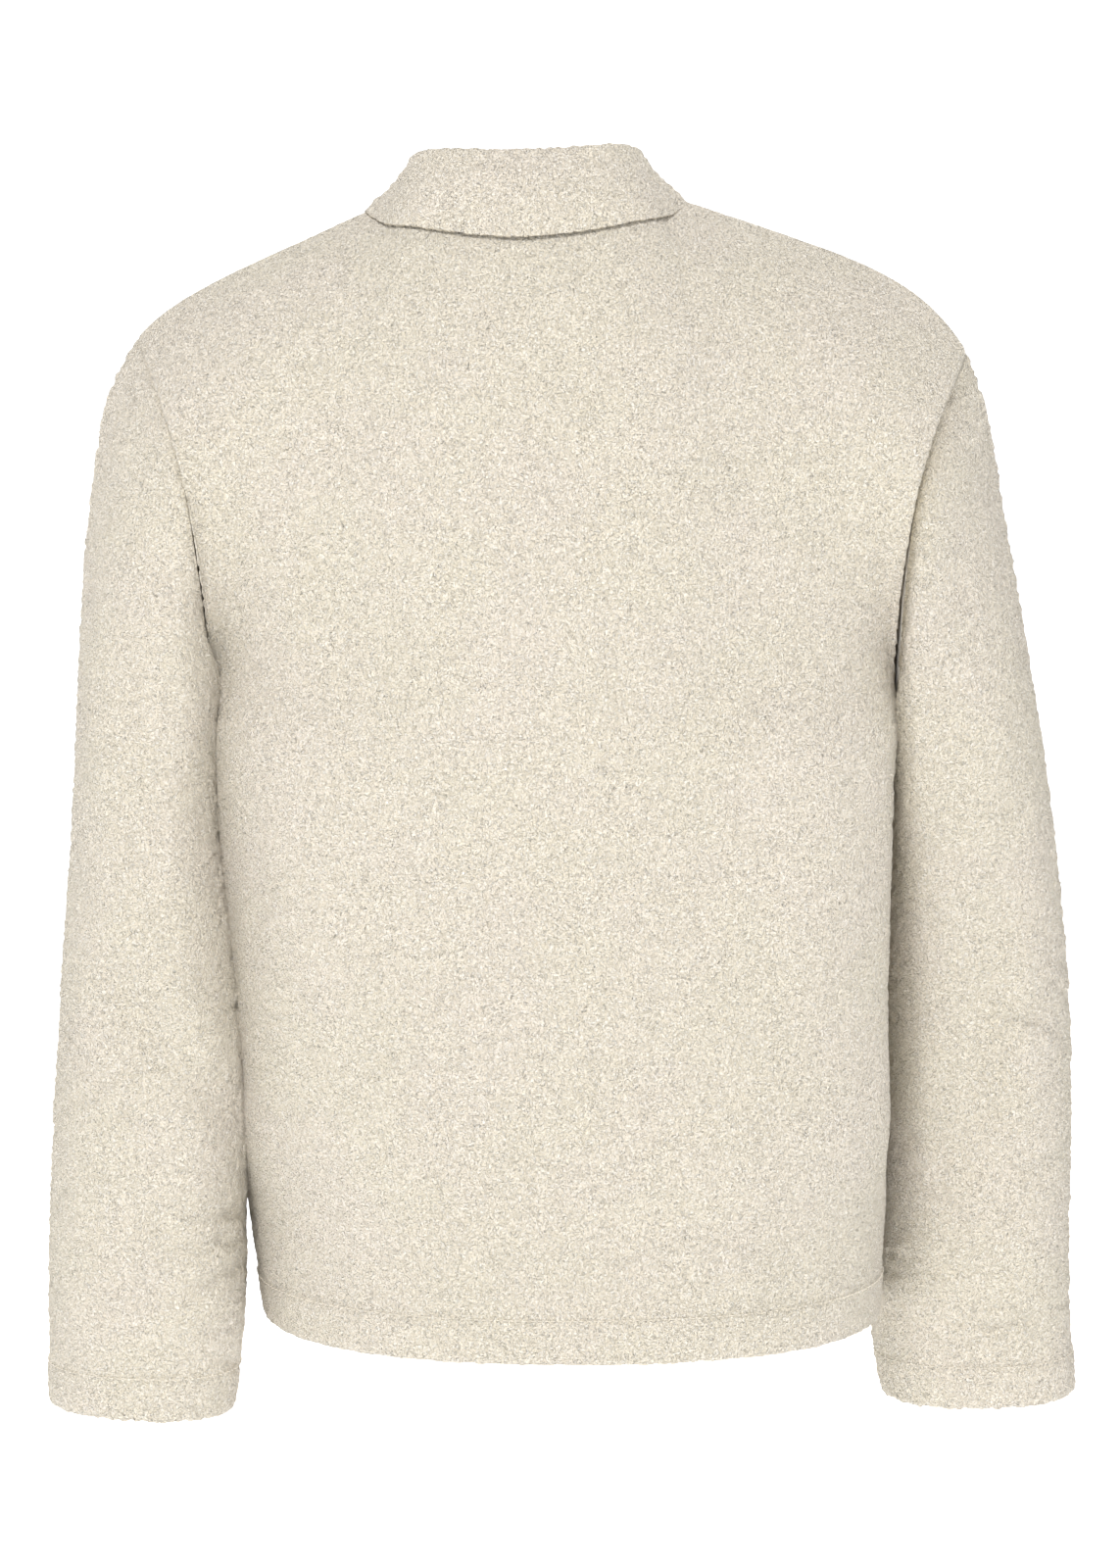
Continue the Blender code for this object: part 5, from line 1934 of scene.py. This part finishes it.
@dataclass
class Placket:
    """The neck opening's two strips of twill and their stitches."""

    body: BodyForm
    cloth: Cloth
    lap: float = 0.004
    below: float = 0.008
    thickness: float = 0.003
    under_clearance: float = 0.0065
    columns: int = 40
    rows: int = 144
    stitch: StitchRun = StitchRun(length=0.0022, pitch=0.0029, radius=0.00024, sink=0.0001)
    stitch_inset: float = 0.0030
    stitch_pull: float = 0.0005
    pull_width: float = 0.0010
    edge_round: float = 0.0016
    edge_share: float = 0.35
    under_flat: tuple = (0.031, 0.125)
    under_area: float = 0.0038
    outer_flat: tuple = (0.040, 0.143)
    outer_area: float = 0.0052

    def front(self, across: Grid, rise: Grid) -> Grid:
        """The yoke's front at some columns, worked out with the armholes beside them."""
        return self.body.yoke(Face.FRONT, np.concatenate([[-1.0], across, [1.0]]), rise)[:, 1:-1]

    def ground(self, lap: float, below: float, short: float) -> tuple[Grid, Grid]:
        """The front's smooth face under a strip: the slit's columns and rows, with the
        lap added at the sides, a run below it, and a stretch left off at the neck.

        Args:
            lap: Extra width on each side.
            below: Extra length below the slit.
            short: Length left off at the neck.

        Returns:
            Points and outward normals, rows by columns.
        """
        slit = self.body.slit_column
        rise = np.linspace(self.body.slit_rise - 0.06, 1.0, self.rows * 2 + 1)
        across = np.linspace(-1.7 * slit, 1.7 * slit, self.columns * 2 + 1)
        face = self.front(across, rise)
        up_run = steps_along(face, 0)[:, self.columns]
        low = np.interp(self.body.slit_rise, rise, up_run) - below
        heights = np.linspace(low, up_run[-1] - short, self.rows + 1)
        rise_at = np.interp(heights, up_run, rise)
        rows = self.front(across, rise_at)
        side_run = steps_along(rows, 1)
        edges = np.stack([np.interp([-slit, slit], across, run) for run in side_run])
        places = np.linspace(edges[:, 0] - lap, edges[:, 1] + lap, self.columns + 1, axis=1)
        ground = np.stack([read_along(*given) for given in zip(side_run, rows, places)])
        return ground, grid_normals(ground, wrap=False)

    @staticmethod
    def strip(
        name: str, ground: Grid, facing: Grid, low: Grid, high: Grid, twill: Finish
    ) -> Thing:
        """Make one strip as a closed wall over its ground, with a UV map in metres.

        Args:
            name: The piece's name.
            ground: Points under the strip.
            facing: Their normals.
            low: Height of its underside.
            high: Height of its face.
            twill: The finish.

        Returns:
            The new piece.
        """
        rows, columns = ground.shape[:2]
        top = ground + facing * high[..., None]
        bottom = ground + facing * low[..., None]
        index = np.arange(rows * columns).reshape(rows, columns)
        cells = quads(index).reshape(-1, 4)
        path = walk([(0, 0), (0, columns - 1), (rows - 1, columns - 1), (rows - 1, 0)])
        border = path[:, 0] * columns + path[:, 1]
        after = np.roll(border, -1)
        offset = rows * columns
        rims = np.stack([after, border, border + offset, after + offset], axis=-1)
        faces = np.concatenate([cells, cells[:, ::-1] + offset, rims])
        points = np.concatenate([top.reshape(-1, 3), bottom.reshape(-1, 3)])
        thing = mesh_object(name, points, faces.tolist(), [twill], sharp=48.0)
        flat = np.stack([steps_along(ground, 1), steps_along(ground, 0)], axis=-1).reshape(-1, 2)
        corner = np.zeros(len(thing.data.loops), np.int32)
        thing.data.loops.foreach_get("vertex_index", corner)
        uv = thing.data.uv_layers.new(name="cloth")
        uv.data.foreach_set("uv", flat[corner % offset].astype(np.float32).ravel())
        return thing

    def padding(self, ground: Grid) -> Grid:
        """Height of a pressed strip's face: a quarter circle up from a thin edge, and
        pulled in along its stitches by a bell."""
        off = np.minimum(from_borders(ground, 1), from_borders(ground, 0))
        rounded = np.sqrt(1.0 - np.clip(1.0 - off / self.edge_round, 0.0, 1.0) ** 2)
        pull = self.stitch_pull * bell(off - self.stitch_inset, self.pull_width)
        return self.thickness * (self.edge_share + (1.0 - self.edge_share) * rounded) - pull

    def box_runs(self, ground: Grid, facing: Grid, high: Grid) -> list[tuple[Grid, Grid]]:
        """Stitch paths down both sides of a strip and across its foot."""
        face = ground + facing * high[..., None]
        across = steps_along(ground, 1)
        column = int(np.argmin(np.abs(across[0] - self.stitch_inset)))
        row = int(np.argmin(np.abs(steps_along(ground, 0)[:, 0] - self.stitch_inset)))
        lines = (np.s_[row:, column], np.s_[row:, -1 - column], np.s_[row, column:-column])
        return [(face[line], facing[line]) for line in lines]

    def build(self, wardrobe: Wardrobe) -> list[Thing]:
        """Make both strips and the outer one's box of stitches."""
        gap = self.cloth.seam_gap
        ground, facing = self.ground(-gap, -gap, self.under_clearance)
        under_high = np.zeros(ground.shape[:2])
        under_low = np.full(ground.shape[:2], -self.cloth.wall)
        under = self.strip("placket_under_twill", ground, facing, under_low, under_high, wardrobe.twill)
        fasten(under, "twill", "placket_under")
        ground, facing = self.ground(self.lap, self.below, 0.0)
        off = 2.0 * gap
        high = off + self.padding(ground)
        low = np.full(ground.shape[:2], off)
        outer = self.strip("placket_outer_twill", ground, facing, low, high, wardrobe.twill)
        fasten(outer, "twill", "placket_outer")
        runs = self.box_runs(ground, facing, high)
        box = sewn("placket_stitches", runs, self.stitch, wardrobe.thread)
        return [under, outer, box]


@dataclass
class Button:
    """A dished four-hole button where its solid stands, tied on with thread."""

    number: int
    radius: float = 0.0075
    thickness: float = 0.0028
    rim: float = 0.0016
    dish: float = 0.0006
    hole_offset: float = 0.00135
    hole_radius: float = 0.00080
    rings: int = 44
    sides: int = 96
    hole_round: float = 0.00018
    hole_depth: float = 0.0014
    rim_slope: float = 0.0012
    edge_round: float = 0.0007
    edge_drop: float = 0.0008
    thread: StitchRun = StitchRun(length=0.0027, pitch=0.0030, radius=0.00034, sink=0.0)

    @property
    def node(self) -> str:
        """The solid that it stands for."""
        return f"button_{self.number}"

    def seat(self) -> tuple[Grid, Grid]:
        """The middle of the solid's back and the way that it faces."""
        mesh = frame["nodes"][self.node].data
        points = np.zeros(len(mesh.vertices) * 3, np.float32)
        mesh.vertices.foreach_get("co", points)
        points = points.reshape(-1, 3).astype(float)
        middle = 0.5 * (points.min(axis=0) + points.max(axis=0))
        facing = np.linalg.svd(points - points.mean(axis=0), full_matrices=False)[2][-1]
        facing = facing * -np.sign(facing[1])
        back = float(((points - middle) @ facing).min())
        return middle + facing * back, facing

    def height(self, x: Grid, y: Grid) -> Grid:
        """The button's face: a rounded rim, a dished middle and four holes."""
        away = np.hypot(x, y)
        rim = smooth_step(self.radius - self.rim - self.rim_slope, self.radius - self.rim, away)
        edge = np.clip((away - self.radius + self.edge_round) / self.edge_round, 0.0, 1.0)
        drop = self.edge_drop * (1.0 - np.sqrt(1.0 - edge**2))
        face = self.thickness - self.dish * (1.0 - rim) - drop
        off = np.hypot(np.abs(x) - self.hole_offset, np.abs(y) - self.hole_offset)
        low, high = self.hole_radius - self.hole_round, self.hole_radius + self.hole_round
        return face - self.hole_depth * (1.0 - smooth_step(low, high, off))

    def build(self, wardrobe: Wardrobe) -> list[Thing]:
        """Make the button and its thread."""
        back, facing = self.seat()
        side = unit(np.cross(UP, facing))
        up = np.cross(facing, side)
        turn = 2.0 * HALF_TURN * np.arange(self.sides) / self.sides
        away = self.radius * np.linspace(0.0, 1.0, self.rings + 1)[1:] ** 0.9
        wall_z = np.array([0.0014, 0.0006, 0.0])
        wall_away = np.array([self.radius, self.radius, self.radius - wall_z[1]])
        away = np.append(away, wall_away)[:, None]
        x, y = away * np.cos(turn)[None], away * np.sin(turn)[None]
        z = self.height(x, y)
        z[self.rings:] = wall_z[:, None]
        crown = np.array([[0.0, 0.0, float(self.height(np.array(0.0), np.array(0.0)))]])
        local = np.concatenate([np.stack([x, y, z], axis=-1).reshape(-1, 3), crown])
        points = back + local[:, :1] * side + local[:, 1:2] * up + local[:, 2:] * facing
        index = np.arange((self.rings + 3) * self.sides).reshape(-1, self.sides)
        middle = np.full(self.sides, len(local) - 1)
        fan = np.stack([middle, index[0], np.roll(index[0], -1)], axis=-1)
        faces = ring_quads(index).tolist() + fan.tolist() + [index[-1][::-1].tolist()]
        piece = mesh_object(f"{self.node}_resin", points, faces, [wardrobe.horn], sharp=60.0)
        fasten(piece, "button", self.node)
        return [piece, self.tie(back, side, up, facing, wardrobe.thread)]

    def tie(
        self, back: Grid, side: Grid, up: Grid, facing: Grid, thread: Finish
    ) -> Thing:
        """Two bars of thread from hole to hole over the button's face."""
        runs = []
        level = self.thickness - self.dish + 0.0002
        for x in (-self.hole_offset, self.hole_offset):
            for shift in (-0.00028, 0.00028):
                y = np.linspace(-0.0015, 0.0015, 9)
                path = back + (x + shift) * side + y[:, None] * up + level * facing
                runs.append((path, np.broadcast_to(facing, path.shape)))
        piece = sewn(f"button_thread_{self.number}", runs, self.thread, thread)
        return piece


@dataclass(frozen=True)
class Lamp:
    """A square soft light aimed at a point in the middle of the shirt."""

    name: str
    place: tuple
    size: float
    watts: float
    colour: tuple = (1.0, 1.0, 1.0)
    target: tuple = (0.0, 0.0, -0.35)

    def build(self) -> None:
        """Hang the light and aim it."""
        light = bpy.data.lights.new(self.name, "AREA")
        light.size = self.size
        light.energy = self.watts
        light.color = self.colour
        thing = bpy.data.objects.new(self.name, light)
        thing.location = self.place
        aim = Vector(self.target) - Vector(self.place)
        thing.rotation_euler = aim.to_track_quat("-Z", "Y").to_euler()
        bpy.context.scene.collection.objects.link(thing)


@dataclass
class Studio:
    """A pale floor, soft light and the camera behind the shirt."""

    floor_gap: float = 0.5
    floor_reach: float = 1500.0
    sight: float = 5000.0
    camera_side: float = -0.004
    camera_distance: float = 3.2
    camera_height: float = 0.125
    camera_tilt: float = 8.6
    focal_pixels: float = 5367.0
    frame_pixels: float = 1600.0
    sensor: float = 36.0
    sky: tuple = (1.0, 1.0, 1.0, 1.0)
    sky_strength: float = 0.67
    lamps: tuple = (
        Lamp("key", (0.9, 3.2, 3.9), 1.3, 182.0, (1.0, 0.99, 0.98)),
        Lamp("fill", (-2.0, 4.2, 0.3), 2.0, 15.0),
        Lamp("front", (-0.6, -2.8, 1.4), 2.2, 52.0),
    )

    def build(self) -> None:
        """Make the camera, the sky, the lights and the floor."""
        scene = bpy.context.scene
        lens = bpy.data.cameras.new("camera")
        lens.sensor_width = self.sensor
        lens.clip_end = self.sight
        lens.lens = self.focal_pixels / self.frame_pixels * self.sensor
        camera = bpy.data.objects.new("camera", lens)
        camera.location = (self.camera_side, self.camera_distance, self.camera_height)
        camera.rotation_euler = (math.radians(90.0 - self.camera_tilt), 0.0, math.pi)
        scene.collection.objects.link(camera)
        scene.camera = camera
        world = bpy.data.worlds.new("sky")
        world.use_nodes = True
        ground = world.node_tree.nodes["Background"]
        ground.inputs["Color"].default_value = self.sky
        ground.inputs["Strength"].default_value = self.sky_strength
        scene.world = world
        scene.view_settings.view_transform = "Standard"
        for lamp in self.lamps:
            lamp.build()
        reach, low = self.floor_reach, float(cad_box[0][2]) - self.floor_gap
        sides = ((-reach, -reach), (reach, -reach), (reach, reach), (-reach, reach))
        corners = np.array([(x, y, low) for x, y in sides])
        mesh_object("floor", corners, [(0, 1, 2, 3)], [FloorFinish().build("floor_paper")])


BODY_CREASES = (
    Crease(0.124, -0.170, 0.107, -0.385, 0.036, 0.0065, 0.0),
    Crease(0.107, -0.385, 0.138, -0.610, 0.034, 0.0050, 0.0),
    Crease(-0.100, -0.165, -0.108, -0.380, 0.036, 0.0065, 0.0),
    Crease(-0.108, -0.380, -0.155, -0.610, 0.034, 0.0050, 0.0),
    Crease(0.118, -0.220, 0.098, -0.440, 0.036, 0.0060, 0.0, face=Face.FRONT),
    Crease(-0.094, -0.230, -0.116, -0.470, 0.036, 0.0060, 0.0, face=Face.FRONT),
)

SLEEVE_CREASES = {
    Hand.LEFT: (
        Crease(0.060, -0.430, 0.150, -0.550, 0.014, 0.0055),
        Crease(-0.120, -0.400, -0.040, -0.480, 0.014, 0.0050),
    ),
    Hand.RIGHT: (
        Crease(0.090, -0.400, 0.110, -0.585, 0.018, 0.0045),
        Crease(-0.120, -0.420, -0.050, -0.500, 0.015, 0.0050),
    ),
}


def crumples(hand: Hand) -> tuple:
    """Short level creases where the cloth is pushed together on the lower sleeve.

    Each comes from a seeded draw: its place round the sleeve, height, length, slope,
    width and depth, in rows that thin out upwards.
    """
    draw = np.random.default_rng(5 if hand is Hand.LEFT else 9)
    middle = 0.125 if hand is Hand.LEFT else 0.045
    found = []
    for _ in range(34):
        z = -0.715 + 0.25 * draw.random() ** 1.5
        side = middle + 0.05 * draw.standard_normal()
        if draw.random() < 0.3:
            side -= 0.16
        half = 0.010 + 0.016 * draw.random()
        slope = 0.006 * draw.standard_normal()
        width = 0.0035 + 0.0025 * draw.random()
        depth = 0.0009 + 0.0012 * draw.random()
        found.append(Crease(side - half, z - slope, side + half, z + slope, width, depth, 0.6))
    return tuple(found)


def main() -> None:
    """Build every sub-assembly in order and report each piece."""
    logging.basicConfig(level=logging.INFO, format="%(name)s: %(message)s")
    for thing in list(bpy.data.objects):
        if thing.type in ("CAMERA", "LIGHT"):
            bpy.data.objects.remove(thing, do_unlink=True)
    cloth, pile, body = Cloth(), Pile(), BodyForm()
    wardrobe = Wardrobe.make()
    Studio().build()
    forms = (SleeveForm(Hand.LEFT, body, LEFT_RINGS), SleeveForm(Hand.RIGHT, body, RIGHT_RINGS))
    pieces = Stitching(body, forms, cloth).build(wardrobe)
    hem, *cuffs = pieces
    for face in Face:
        threads = [hem] if face is Face.BACK else []
        pieces.append(BodyPanel(face, body, cloth, pile, BODY_CREASES).build(wardrobe, threads))
    for form, cuff in zip(forms, cuffs):
        creases = SLEEVE_CREASES[form.hand] + crumples(form.hand)
        sleeve = Sleeve(form, cloth, pile.rougher(SLEEVE_ROUGHNESS), creases, LEANS[form.hand])
        pieces.append(sleeve.build(wardrobe, [cuff]))
    pieces.append(Collar(body, cloth, pile).build(wardrobe))
    pieces += Placket(body, cloth).build(wardrobe)
    for number in (1, 2, 3):
        pieces += Button(number).build(wardrobe)
    for piece in pieces:
        triangles = sum(len(face.vertices) - 2 for face in piece.data.polygons)
        log.info("%s: %d triangles", piece.name, triangles)


if __name__ == "__main__":
    main()
